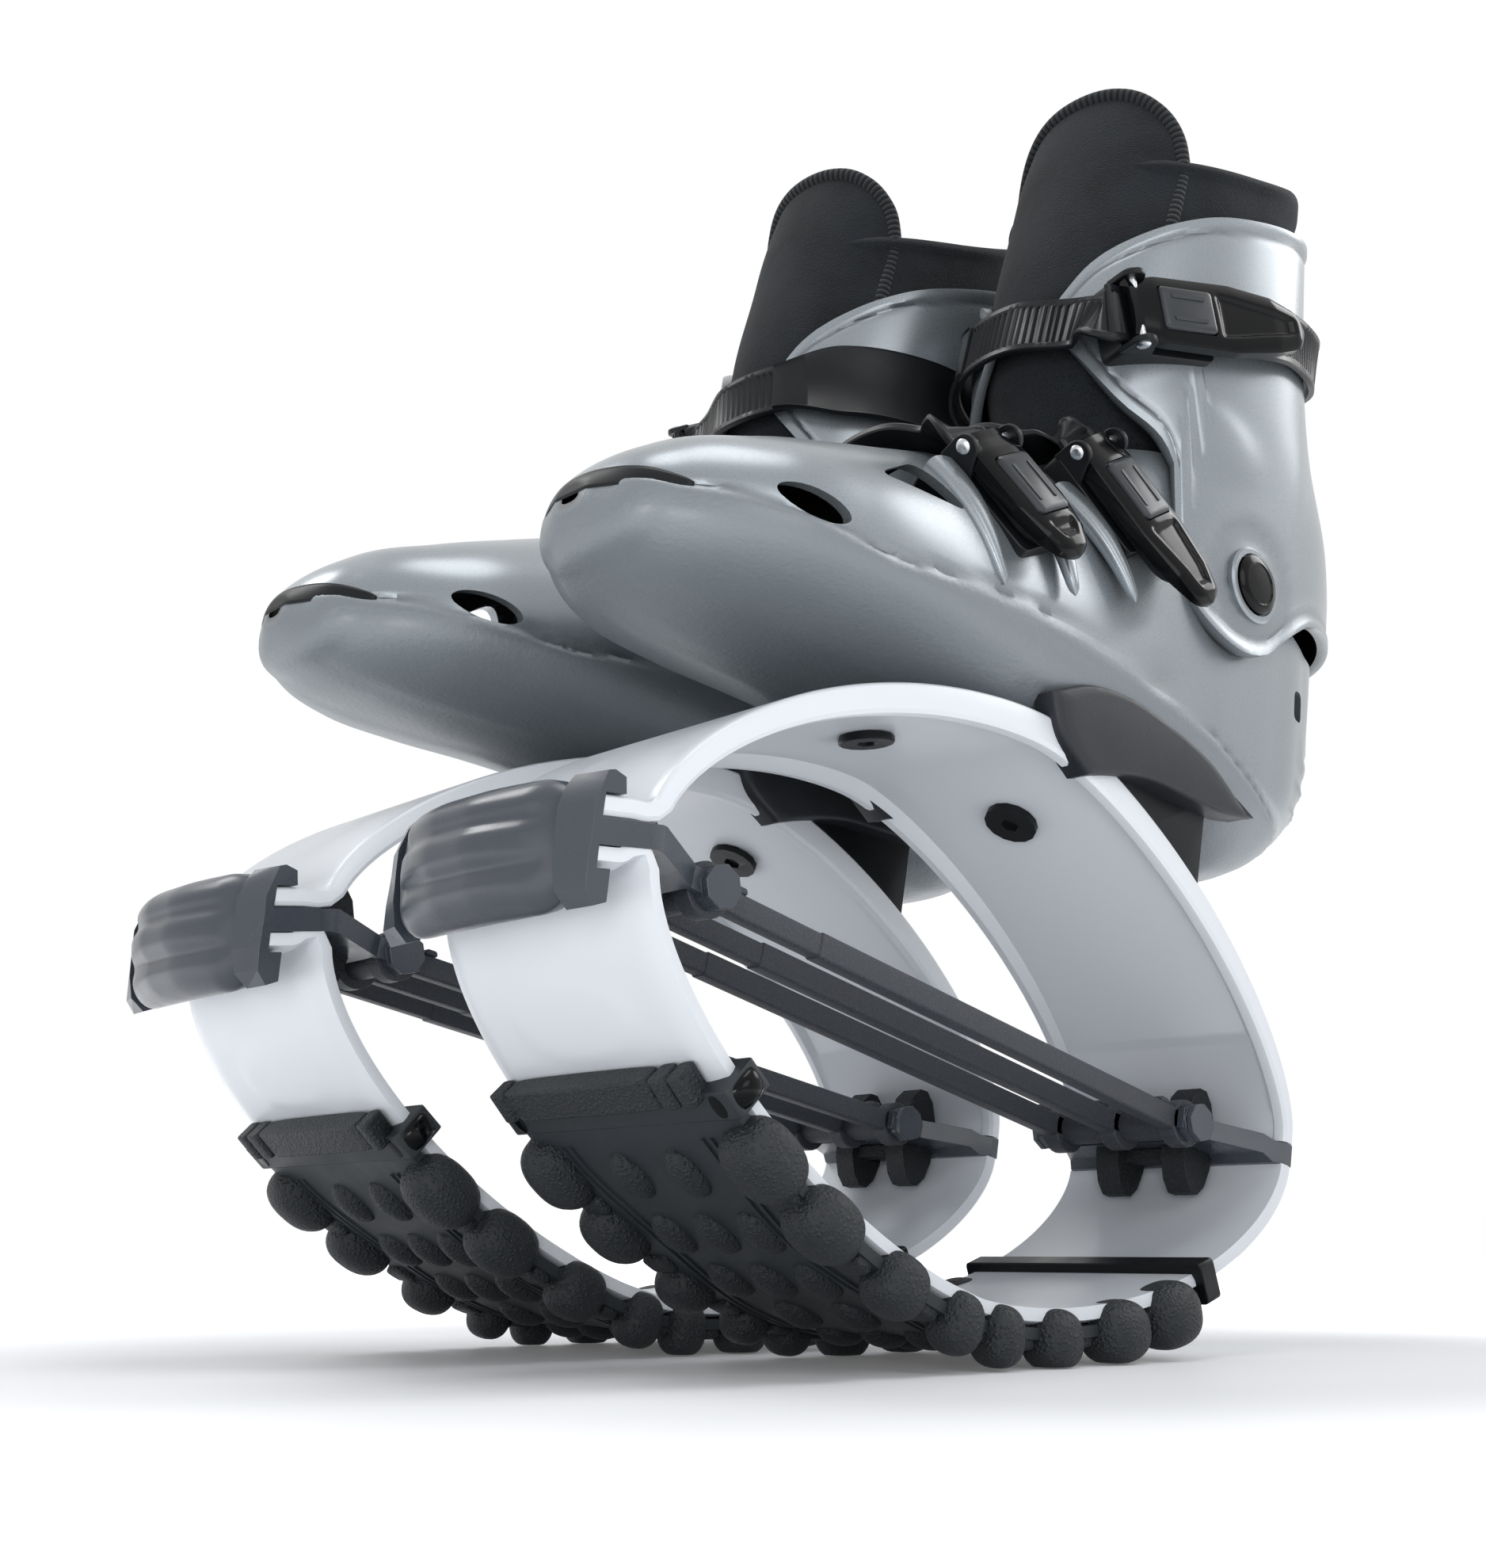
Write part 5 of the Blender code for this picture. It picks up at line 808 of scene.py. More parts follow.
def lower_shell(side, sign, part, hinge):
    """A half of the lower shell: a plate with a wide bevel along each side and a soft raised oval in
    front."""
    line, normal = shell_half(LOWER, sign)
    across = np.linspace(-1, 1, 33)
    edge = 1 - SHELL_BEVEL / SHELL_HALF_WIDTH
    top = 1.5 * np.maximum((np.abs(across) - edge) / (1 - edge), 0) ** 1.3
    rows = len(line)
    outer = np.zeros((rows, len(across), 2))
    outer[..., 0], outer[..., 1] = across * SHELL_HALF_WIDTH, top
    if sign > 0:
        oval = ((line[:, None, 0] - 116) / 9) ** 2 + (across[None, :] * SHELL_HALF_WIDTH / 23) ** 2
        outer[..., 1] -= 0.5 * ramp(-oval, -1.15, -0.85)
    section = np.concatenate((
        outer, np.broadcast_to(np.array(((SHELL_HALF_WIDTH, 3.0), (SHELL_HALF_WIDTH - 0.7, LOWER["wall"]),
                                         (-SHELL_HALF_WIDTH + 0.7, LOWER["wall"]), (-SHELL_HALF_WIDTH, 3.0))),
                                         (rows, 4, 2)),
    ), axis=1)
    rings = loft_section(line, normal, section)
    shape = Shape().tube(round_lip(rings))
    make_piece(side, part, shape, "white", ("spring_base", hinge, sign), ("lower_shell",),
               smooth=35)


def upper_shell(side, sign, part, cover):
    """A half of the upper shell: a plate with a deeper rim along each side."""
    line, normal = shell_half(UPPER, sign)
    rows = len(line)
    share = np.clip(1 - np.abs(line[:, 0]) / SHELL_HALF, 0, 1) ** 0.5
    rim = UPPER["wall"] + 0.2 + (10.0 - UPPER["wall"]) * share
    half, wall = SHELL_HALF_WIDTH, UPPER["wall"]
    inner = half - UPPER_RIM
    outline = []
    for y, d, r in (
        (-half, 1.2, 0), (-half + 0.5, 0.4, 0), (-half + 1.4, 0, 0), (-half + 5, 0, 0), (0, 0, 0),
        (half - 5, 0, 0), (half - 1.4, 0, 0), (half - 0.5, 0.4, 0), (half, 1.2, 0), (half, -1.4, 1),
        (half - 0.8, -0.3, 1), (half - 1.8, 0, 1), (inner + 0.9, 0, 1), (inner + 0.2, -0.6, 1),
        (inner - 1.6, wall, 0), (-inner + 1.6, wall, 0), (-inner - 0.2, -0.6, 1), (-inner - 0.9, 0, 1),
        (-half + 1.8, 0, 1), (-half + 0.8, -0.3, 1), (-half, -1.4, 1),
    ):
        depth = np.full(rows, d, float) + (rim if r else 0)
        outline.append(np.stack((np.full(rows, y, float), np.maximum(depth, 1.2 if r else 0)), axis=1))
    section = np.stack(outline, axis=1)
    rings = loft_section(line, normal, section)
    shape = Shape().tube(round_lip(rings))
    make_piece(side, part, shape, "white", ("boot", cover, sign), ("upper_shell",), smooth=35)


def add_lug(shape, place, across, sunk, radii, **roundness):
    """A lug on the lower shell's outer face: place along it, distance across, and how far its middle is
    out."""
    skin, along, down = shell_frame(place, LOWER)
    shape.ellipsoid(skin + ACROSS * across + down * sunk, (along, ACROSS, down), radii, **roundness)


def tread(side, sign, part, hinge):
    """A half of the tread: smooth base, two winding rails, grained lugs."""
    x = np.linspace(0, sign * TREAD_REACH, 60)
    line = np.stack((x, shell_height(x, LOWER)), axis=1)
    normal = -line_normals(line)
    y = np.concatenate((np.linspace(-1, 1, 17), np.linspace(1, -1, 17))) * (SHELL_HALF_WIDTH - 0.2)
    depth = np.concatenate((np.full(17, 0.1), np.full(17, TREAD_THICK)))
    depth[17], depth[33] = 3.2, 3.2
    section = np.broadcast_to(np.stack((y, depth), axis=1), (60, 34, 2))
    body = ("spring_base", hinge, sign)
    base = Shape().tube(loft_section(line, normal, section))
    make_piece(side, f"tread_base_{part}", base, "base", body, ("tread",), smooth=35)
    rails = Shape()
    reach = np.linspace(2.0, 88.0, 90)
    flat = np.stack((sign * reach, shell_height(sign * reach, LOWER)), axis=1)
    out = -line_normals(flat)
    ring = np.array(((-0.55, 4.0), (-0.4, 4.9), (0.4, 4.9), (0.55, 4.0)))
    for lane in (-1, 1):
        centre = lane * (SHELL_HALF_WIDTH * RAIL_SHARE + RAIL_SWAY * np.sin(reach / RAIL_PERIOD))
        for offset in (-1.6, 1.6):
            section = np.zeros((len(reach), len(ring), 2))
            section[..., 0] = (centre + offset)[:, None] + ring[:, 0]
            section[..., 1] = ring[:, 1]
            rails.tube(loft_section(flat, out, section))
    make_piece(side, f"tread_rails_{part}", rails, "base", body, ("tread",))
    lugs = Shape()
    for place, length, width, tall in SIDE_LUGS:
        if place * sign > 0:
            for lane in (-1, 1):
                add_lug(lugs, place, lane * SIDE_LUG_Y, 3.2, (length, width, tall), power=LUG_POWER,
                        cross=LUG_POWER,
                        rows=22, columns=36)
    for place, lanes in MIDDLE_ROWS:
        if place * sign > 0:
            for lane in lanes:
                add_lug(lugs, place, lane * SHELL_HALF_WIDTH, 3.6, (8.5, 5.5, 4.2), rows=16, columns=28)
    for first, second in zip(SIDE_LUGS[:-1], SIDE_LUGS[1:]):
        place = (first[0] - first[1] + second[0] + second[1]) / 2
        if place * sign > 0:
            for lane in (-1, 1):
                add_lug(lugs, place, lane * (SIDE_LUG_Y - 3.0), 4.2, (3.4, 4.8, 2.0), power=5, cross=4,
                        rows=12,
                        columns=24)
    make_piece(side, f"tread_lugs_{part}", lugs, "rubber", body, ("tread",))


def ring_box(shape, x, shell, length, low, high, half):
    """A block on the shell at x: along its slope, from a low to a high distance outside the shell."""
    base, along, out = shell_frame(x, shell)
    outline = filleted(((-half, low), (half, low), (half, high), (-half, high)), 1.6, 4)
    return shape.tube(np.array([base + along * s + outline[:, :1] * ACROSS + outline[:, 1:] * out
                                for s in (-length / 2, length / 2)]))


def tread_clips(side):
    """The bands round the lower shell: the front one carries a grained block, and a glossy loop at each
    side."""
    band = Shape()
    ring_box(band, FRONT_BAND_X, LOWER, 8.5, -LOWER["wall"] - 3.4, 4.4, SHELL_HALF_WIDTH + 3.2)
    make_piece(side, "front_clip", band, "base", "spring_base", ("tread",), bevel=0.8)
    block = Shape()
    for low, high in ((-40.5, -35.4), (-34.4, 23.5), (24.5, 30.6), (31.6, 36.8)):
        part = Shape()
        ring_box(part, FRONT_BLOCK_X, LOWER, 9.0, 0.3, 7.6, 1.0)
        points = part.points[0].copy()
        points[:, 1] = (low + high) / 2 + points[:, 1] * (high - low) / 2
        block.add(points, part.faces)
    make_piece(side, "front_block", block, "rubber", "spring_base", ("tread",), bevel=1.2)
    loop = Shape()
    skin, along, out = shell_frame(FRONT_BAND_X, LOWER)
    for lane in (-1, 1):
        path = spline(((lane * 39.5, 4.6), (lane * 43.8, 3.4), (lane * 46.2, -1.2), (lane * 45.0, -6.0),
                       (lane * 40.5, -8.0)), 24)
        centre = skin + path[:, :1] * ACROSS + path[:, 1:] * out
        a = around(12)
        loop.tube(sweep(centre, along[None], ACROSS[None], np.cos(a) * 3.4, np.sin(a) * 1.6))
    make_piece(side, "front_loops", loop, "black", "spring_base", ("tread",))
    rear = Shape()
    ring_box(rear, REAR_BAND_X, LOWER, 7.0, -LOWER["wall"] - 3.0, 4.2, SHELL_HALF_WIDTH + 3.0)
    make_piece(side, "rear_clip", rear, "satin", "spring_base", ("tread",), bevel=0.8)


def copy_node(side, node, name, finish, body, bevel=0.35, smooth=35):
    """A merged copy of one frame node with eased edges and its own finish."""
    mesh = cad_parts[f"{side}_{node}"].data.copy()
    mesh.name = f"{side}_{name}"
    work = bmesh.new()
    work.from_mesh(mesh)
    bmesh.ops.remove_doubles(work, verts=work.verts, dist=1e-5)
    bmesh.ops.dissolve_limit(work, angle_limit=math.radians(1.0), verts=work.verts, edges=work.edges)
    bmesh.ops.recalc_face_normals(work, faces=work.faces)
    work.to_mesh(mesh)
    work.free()
    for layer in list(mesh.uv_layers):
        mesh.uv_layers.remove(layer)
    mesh.materials.clear()
    piece = finished(f"{side}_{name}", mesh, finish, smooth)
    if bevel:
        ease_edges(piece, bevel)
    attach(piece, f"{side}_{body}")
    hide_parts(f"{side}_{node}")
    return piece


def hinges(side):
    """Cross pins, holders, caps and bumpers."""
    for end in ("front", "rear"):
        copy_node(side, f"{end}_holder", f"{end}_holder_body", "grey", f"{end}_hinge",
                  bevel=0.7)
        copy_node(side, f"{end}_pin", f"{end}_cross_pin", "grey", f"{end}_hinge", bevel=0.5)
        copy_node(side, f"{end}_bumpers", f"{end}_bumper_discs", "bumper", f"{end}_hinge",
                  bevel=0.9)
    copy_node(side, "rear_cap", "rear_cap_strip", "grey", "rear_cover", bevel=0.8)
    front_cap(side)
    straps, stubs = Shape(), Shape()
    outline = filleted(((-3.0, -3.6), (3.0, -3.6), (3.0, 3.6), (-3.0, 3.6)), 0.9, 3)
    for y in STRAP_YS:
        for shape, low, high, less in ((straps, -PIN_X, 62.0, 0.0), (stubs, 56.0, PIN_X, 0.35)):
            shape.slab(outline * (1 - less / 3.0, 1 - less / 3.6) + (y, 0), low, high, axis=0)
    for shape, x, sign in ((straps, -PIN_X, 1), (stubs, PIN_X, -1)):
        eye = arc((x, 0), EYE_RADIUS, 0, 340, 24)
        for y in STRAP_YS:
            shape.slab(eye, y - 3.0, y + 3.0)
            tab = filleted(((x + sign * 9.0, 3.4), (x + sign * 13.5, 3.4), (x + sign * 13.0, 5.2),
                            (x + sign * 9.5, 5.2)), 0.6, 3)
            shape.slab(tab, y - 2.2, y + 2.2)
        shape.slab(arc((x, 0), 4.9, 0, 340, 20), -26.0, 26.0)
    make_piece(side, "strap_bars", straps, "elastic", "rear_hinge", ("tension_straps",),
               bevel=0.4)
    make_piece(side, "strap_ends", stubs, "elastic", "front_hinge", ("tension_straps",),
               bevel=0.4)


def front_cap(side):
    """The housing over both lips: a half round with a ridge along its middle between two valleys."""
    line = spline(CAP_EDGE, 90)
    far = np.linspace(0, 1, len(line))
    ridge = CAP_RIDGE_HEIGHT * sum(np.exp(-((far - place) / CAP_RIDGE_WIDTH) ** 2) for place in CAP_RIDGES)
    tangent = unit(np.gradient(line, axis=0))
    out = np.stack((-tangent[:, 1], tangent[:, 0]), axis=1)
    out *= np.sign(np.sum(out * (line - (4.0, 0.0)), axis=1, keepdims=True))
    across = np.linspace(-1, 1, 49)
    rows = np.zeros((90, 49, 3))
    for j, y in enumerate(across):
        fade = 1 - ramp(abs(y), 0.80, 0.97)
        drop = ridge * fade + 4.5 * np.clip((abs(y) - 0.70) / 0.30, 0, 1) ** 2.4
        uv = line - out * drop[:, None]
        xz = hook_point(uv[:, 0], uv[:, 1])
        rows[:, j, 0], rows[:, j, 1], rows[:, j, 2] = xz[0], y * CAP_HALF, xz[1]
    shape = Shape()
    inner = rows.copy()
    centre = hook_point(2.0, 0.0)
    inner[..., 0] += (centre[0] - inner[..., 0]) * CAP_WALL_SHARE
    inner[..., 2] += (centre[1] - inner[..., 2]) * CAP_WALL_SHARE
    loop = np.concatenate((rows, inner[::-1]), axis=0)
    shape.tube(round_front(np.swapaxes(loop, 0, 1)))
    make_piece(side, "front_cap_ridge", shape, "grey", "front_cover", ("front_cap",),
               smooth=45)


# ---------------------------------------------------------------- boot


def foot_row(x):
    """The foot shell's five measures at x, smoothed between the table's rows."""
    return hermite(np.asarray(x, float), FOOT_ROWS[:, 0], FOOT_ROWS[:, 1:])


def foot_point(degrees, x, inset=0.0):
    """A point on the foot shell: angle from the outer side up over the top; heights and widths less the
    inset."""
    sole, widest, top, half, power = np.moveaxis(foot_row(x), -1, 0)
    a = np.radians(degrees)
    upper = np.sin(a) >= 0
    cu, su = power_pair(a, np.clip(power, 1.7, 2.6))
    cl, sl = power_pair(a, FOOT_LOWER_POWER)
    wide = np.maximum(half - inset, 1.0)
    y = wide * np.where(upper, cu, cl)
    z = widest + np.where(upper, (np.maximum(top - inset, widest + 1) - widest) * su,
                          (widest - np.minimum(sole + inset, widest - 1)) * sl)
    return np.stack((np.broadcast_to(x, y.shape), y, z), axis=-1)


def ring_tube(rows, angle, z, inset=0.0):
    """Leg tube: the table's rear, front and half width at z; angle from the front towards the outer side."""
    rear, front, half = np.moveaxis(hermite(np.asarray(z, float), rows[:, 0], rows[:, 1:]), -1, 0)
    c, s = power_pair(angle, CUFF_POWER)
    x = (rear + front) / 2 + ((front - rear) / 2 - inset) * c
    return np.stack((x, (half - inset) * s, np.broadcast_to(z, x.shape)), axis=-1)


def settled(rows, angle, share, limits):
    """Heights of a leg tube at shares between two edges that depend on X, with those edges."""
    z = np.full((len(share), len(angle)), 250.0)
    for _ in range(SETTLE_ROUNDS):
        low, high = limits(ring_tube(rows, angle, z)[..., 0])
        z = low + (high - low) * share
    return z, low, high


def boolean(piece, tool):
    """Cuts a closed tool out of a piece and applies the result, keeping its marks."""
    cut = piece.modifiers.new("cut", "BOOLEAN")
    cut.operation, cut.object, cut.solver = "DIFFERENCE", tool, "EXACT"
    with bpy.context.temp_override(object=piece):
        bpy.ops.object.modifier_apply(modifier=cut.name)
    bpy.data.objects.remove(tool)


def cutter(side, shape, finish):
    """A closed shape to cut with; the cut faces take its finish."""
    mesh = bpy.data.meshes.new("cutter")
    mesh.from_pydata(to_row(side, np.vstack(shape.points)).tolist(), [], shape.faces)
    work = bmesh.new()
    work.from_mesh(mesh)
    bmesh.ops.recalc_face_normals(work, faces=work.faces)
    if work.calc_volume(signed=True) < 0:
        bmesh.ops.reverse_faces(work, faces=work.faces)
    work.to_mesh(mesh)
    work.free()
    mesh.materials.append(FINISHES[finish])
    return in_scene("cutter", mesh)


def thick_tube(outer, inner):
    """A closed wall between two open grids: outer rows, then inner rows back, joined at both ends."""
    return np.concatenate((outer, inner[::-1]), axis=0)


def foot_shell(side):
    """Foot shell: smoothed stations with a wall, a throat, vents, a parting line and a ribbed heel."""
    stations = np.concatenate((np.linspace(-160.9, -150, 10), np.linspace(-148, 138, 110),
                               np.linspace(140, 154.4, 14)))
    x, a = np.meshgrid(stations, np.linspace(0, 360, 128, endpoint=False), indexing="ij")
    outer = foot_point(a, x)
    parting = np.interp(outer[..., 0], PARTING[:, 0], PARTING[:, 1])
    near = np.exp(-((outer[..., 2] - parting) / 0.9) ** 2)
    below = ramp(parting - outer[..., 2], 0.0, 3.0)
    normal = outward_normals(outer)
    side_face = ramp(np.abs(outer[..., 1]), 12, 20)
    rib = np.zeros_like(near)
    for k in range(RIB_COUNT):
        rib += np.exp(-((outer[..., 2] - (RIB_LOW + RIB_STEP * k)) / RIB_WIDTH) ** 2)
    rib *= ramp(-outer[..., 0], 132, 142) * ramp(-outer[..., 2], -156, -146)
    # A recessed field low on each side, and a raised band above it.
    field = ramp(outer[..., 0], -96, -88) * ramp(-outer[..., 0], -20, -12)
    field = field * ramp(-outer[..., 2], -parting + 5, -parting + 9) * ramp(outer[..., 2], 90, 95)
    relief = -0.9 * near * side_face - 0.7 * field * side_face + 0.9 * rib + 0.5 * below * side_face
    outer = outer + normal * np.clip(relief, -1.2, 1.2)[..., None]
    inner = foot_point(a, x, FOOT_WALL)
    bare = np.zeros_like(below)
    shape = Shape().grid(
        # dark is 1 on the inner wall: the inside of the shell is painted near black, as painted shade.
        thick_tube(outer, inner), wrap_rows=True, wrap_columns=True, dark=np.vstack((bare, bare + 1)),
        # groove: the sunk parting line is painted darker, as painted shade.
        groove=np.vstack((near * side_face, bare)), grained=np.vstack((below, bare)))
    top_cut = np.vstack((spline(FOOT_RIM[:-1], 40), ((4.0, 420.0), (-190.0, 420.0))))
    throat = filleted(((THROAT_START - 10, -THROAT_HALF), (THROAT_END - 21, -THROAT_HALF),
                       (THROAT_END, -THROAT_HALF),
                       (THROAT_END, THROAT_HALF), (THROAT_END - 21, THROAT_HALF),
                       (THROAT_START - 10, THROAT_HALF)), 20, 9)
    vent = circles((1.0,), 28)[0] * VENT_SIZE + VENT_MIDDLE
    wedge = filleted(WEDGE_VENT, 6, 6)
    heel = filleted(HEEL_HOLE, 3, 5)
    piece = make_piece(side, "foot_shell_moulding", shape, "silver", "boot", ("foot_shell",),
                       smooth=38)
    for outline, low, high, axis in (
        (top_cut, -80, 80, 1), (throat, 134.6, 420, 2), (vent, -60, 60, 1), (wedge, -60, -18, 1),
        (wedge, 18, 60, 1), (heel, -60, 60, 1),
    ):
        boolean(piece, cutter(side, Shape().slab(outline, low, high, axis), "silver"))
    ease_edges(piece, 0.5, 50)
    piece.data.set_sharp_from_angle(angle=math.radians(38))


def toe_vent(side):
    """The slot across the nose: a dark plate just over the shell's skin, which halving finds; the plate is
    painted shade in place of the open slot.
    """
    across = np.linspace(-1, 1, 41)
    rows = []
    for height in np.linspace(-3.4, 3.4, 7):
        row = []
        for s in across:
            y = s * TOE_SHADE_PLATE_HALF
            low, high = 60.0, 154.3
            z = TOE_SHADE_PLATE_Z + height * math.sqrt(max(1 - s**4, 0.02))
            for _ in range(HALVINGS):
                middle = (low + high) / 2
                sole, widest, top, half, power = foot_row(np.array(middle))
                vertical = (z - widest) / ((top - widest) if z > widest else (widest - sole))
                p = power if z > widest else FOOT_LOWER_POWER
                inside = abs(y / half) ** p + abs(vertical) ** p < 1
                low, high = (middle, high) if inside else (low, middle)
            row.append((low + TOE_SHADE_PLATE_LIFT, y, z))
        rows.append(row)
    # Painted shade: the dark plate stands in for the shade inside the slot.
    make_piece(side, "toe_slot_shade_plate", Shape().grid(np.array(rows)), "satin", "boot", (),
               wall=0.6)


def cuff(side):
    """Cuff: a thin tube between its lower and upper outline, thicker along its border."""
    angle, share = around(160), np.linspace(0, 1, 64)[:, None]
    low_line, high_line = spline(CUFF_LOW, 60), spline(CUFF_HIGH, 60)
    z, low, high = settled(CUFF_ROWS, angle, share, lambda x: [
        np.interp(x, line[:, 0], line[:, 1]) for line in (low_line, high_line)])
    points = ring_tube(CUFF_ROWS, angle, z)
    normal = outward_normals(points)
    front = ramp(points[..., 0], -16, -8)
    edge = np.minimum(points[..., 2] - low, high - points[..., 2])
    border = 1 - ramp(edge, 4.2, 5.6)
    bead = np.exp(-((edge - 5.6) / 1.1) ** 2)
    r = np.hypot(points[..., 0] - PIVOT[0], points[..., 2] - PIVOT[1])
    patch = ramp(-r, -24.0, -22.4) * (1 - ramp(-r, -14.0, -12.5))
    field = ramp(points[..., 0], -150, -144) * ramp(-points[..., 0], 104, 110) * ramp(edge, 9, 11)
    outer_side = ramp(points[..., 1], 10, 20)
    away = ((points[..., 0] + 52) / 24) ** 2 + ((points[..., 2] - 222) / 12) ** 2
    bulge = np.exp(-away**2) * outer_side
    relief = 0.8 * border - 0.5 * bead - 0.5 * patch - 0.35 * field + 1.2 * bulge
    outer = points + normal * (relief * (1 - 0.5 * front))[..., None]
    inner = points - normal * CUFF_WALL
    bare = np.zeros_like(bead)
    # groove: the sunk bead and the sunk ring round the pivot are painted darker, as painted shade.
    shape = Shape().grid(
        # dark is 1 on the inner wall: the inside of the cuff is painted near black, as painted shade.
        thick_tube(outer, inner), wrap_rows=True, wrap_columns=True,
        groove=np.vstack((np.clip(bead + 0.3 * patch, 0, 1), bare)), dark=np.vstack((bare, bare + 1)))
    make_piece(side, "cuff_moulding", shape, "silver", "shin_cuff", ("cuff",))


def liner(side):
    """Liner leg: a padded sleeve with a rolled collar, open inside."""
    angle, share = around(120), np.linspace(0, 1, 90)[:, None]
    top_line = eased(spline(LINER_TOP, 60), 5)
    z, _, high = settled(LINER_ROWS, angle, share, lambda x: (
        LINER_LOW, np.interp(x, top_line[:, 0], top_line[:, 1]) - COLLAR_HEIGHT))
    top = high + COLLAR_HEIGHT
    outer, inner = (ring_tube(LINER_ROWS, angle, z, inset) for inset in (0.0, LINER_WALL))
    normal = unit(outer[-1] - inner[-1])
    crown = []
    for a in np.linspace(0, math.pi, 13)[1:-1]:
        middle = (outer[-1] + inner[-1]) / 2
        crown.append(middle + normal * 4.6 * math.cos(a) + np.array((0, 0, COLLAR_HEIGHT)) * math.sin(a))
    depth = top[-1] - outer[..., 2]
    seam = np.exp(-((depth - 26) / 1.6) ** 2)
    wave = outer[..., 2] / 5.2 + 2.1 * np.sin(angle)[None, :] * 2
    wrinkle = 0.5 * np.sin(wave) * ramp(outer[..., 2], 300, 330)
    push = ramp(-depth, -24, -14) * 1.4 - 1.2 * seam + wrinkle * 0.5
    lateral = unit(np.stack((outer[..., 0] + 78, outer[..., 1], np.zeros_like(push)), axis=-1))
    push *= ramp(outer[..., 2], 330, 345)
    outer = outer + lateral * push[..., None]
    rows = np.concatenate((outer, np.array(crown), inner[::-1]), axis=0)
    shape = Shape().grid(rows, wrap_rows=True, wrap_columns=True)
    return make_piece(side, "liner_leg", shape, "cloth", LEG_BODY, ("liner",), smooth=60)


def tongue(side):
    """Tongue: a bowed pad in front of the leg with a rounded top, and knitted piping round its edge."""
    rows, columns = 70, 49
    share = np.linspace(0, 1, rows)[:, None]
    across = np.linspace(-1, 1, columns)[None, :]
    z = TONGUE_LOW + (TONGUE_HIGH - TONGUE_LOW) * np.repeat(share, columns, axis=1)
    rear, front, half = np.moveaxis(hermite(z, LINER_ROWS[:, 0], LINER_ROWS[:, 1:]), -1, 0)
    rounding = np.sqrt(np.clip(1 - np.abs(across) ** 3.2, 0, 1))
    z = z - (1 - rounding) * 34.0 * ramp(share, 0.55, 1.0)
    spread = (TONGUE_HALF_WIDTH / half) * across * 1.05
    turn = np.arcsin(np.clip(spread, -0.97, 0.97))
    ahead = (front - rear) / 2 + 1.5
    lean = ramp(z, 300, 385) * 2.0
    x = (front + rear) / 2 + ahead * np.cos(turn) ** (2 / CUFF_POWER) + lean
    y = half * np.sin(turn) * 0.98
    outer = np.stack((x, y, z), axis=-1)
    normal = grid_normals(outer)
    normal *= np.sign(normal[..., :1])
    edge = np.minimum(1 - np.abs(across), (1 - share) * 2.2)
    puff = 4.0 * (1 - (1 - np.clip(edge / 0.45, 0, 1)) ** 2)
    front_face = outer + normal * (puff * 0.55)[..., None]
    back_face = outer - normal * (3.0 + puff)[..., None]
    loop = np.concatenate((front_face, back_face[:, ::-1]), axis=1)
    shape = Shape().tube(loop)
    pad = make_piece(side, "tongue_pad", shape, "cloth", LEG_BODY, (), smooth=60)
    path = np.concatenate((outer[:, 0], outer[-1, 1:-1], outer[::-1, -1]))
    path = even(eased(even(path, 300), 3), 220)
    tangent = unit(np.gradient(path, axis=0))
    first = unit(np.cross(tangent, (1.0, 0.0, 0.15)))
    second = np.cross(tangent, first)
    a = around(12)
    rings = sweep(path, first, second, 2.7 * np.cos(a), 2.7 * np.sin(a))
    shape = Shape().tube(rings, along=np.repeat(distance(path) * MM, len(a)))
    make_piece(side, "tongue_piping", shape, "knit", LEG_BODY, (), smooth=60)
    return pad


# ---------------------------------------------------------------- straps and buckles


def buckle_axes(name):
    """Origin and axes of a buckle: along to its tail, across, and outwards; with the lever's length."""
    at, tail, outward, rise = BUCKLES[name]
    at, tail, outward = np.array(at), np.array(tail), np.array(outward)
    length = np.linalg.norm(tail - at)
    along = (tail - at) / length
    outward = unit(outward - along * np.dot(outward, along))
    across = np.cross(outward, along)
    return at + outward * rise, (along, across, outward), length


def in_buckle(name, points):
    """Buckle coordinates (along, across, out) to boot coordinates."""
    origin, axes, _ = buckle_axes(name)
    return origin + np.asarray(points, float) @ np.array(axes)


def wrap_skin(kind, rows):
    """Points and outward ways of a strap's route over a skin."""
    out = []
    for degrees, place, clear in rows:
        if kind == "cuff":
            a = np.array(math.radians(degrees))
            point, beyond = (ring_tube(CUFF_ROWS, a, np.array(place), inset=-clear - k) for k in (0, 6))
        else:
            point, beyond = (foot_point(float(degrees), float(place), inset=-clear - k) for k in (0, 6))
        out.append(np.concatenate((point, unit(beyond - point))))
    return out


def strap_track(name):
    """A strap's centre line and outward ways: straight under its lever, then over the skin."""
    _, axes, length = buckle_axes(name)
    run = [np.concatenate((in_buckle(name, (x, 0, 0)), axes[2]))
           for x in (length * 0.8, length * 0.4, -4.8, -8.5)]
    if name == "shin":
        points = wrap_skin("cuff", SHIN_TAIL) + run + wrap_skin("cuff", SHIN_WRAP)
    else:
        points = run + wrap_skin("foot", TOE_WRAP if name == "toe" else ANKLE_WRAP)
    track = spline(points, 260)
    for _ in range(3):
        track[1:-1] = (track[:-2] + 2 * track[1:-1] + track[2:]) / 4
    out = unit(track[:, 3:])
    tangent = unit(np.gradient(track[:, :3], axis=0))
    out = unit(out - tangent * np.sum(out * tangent, axis=1, keepdims=True))
    return track[:, :3], out, np.cross(out, tangent), tangent


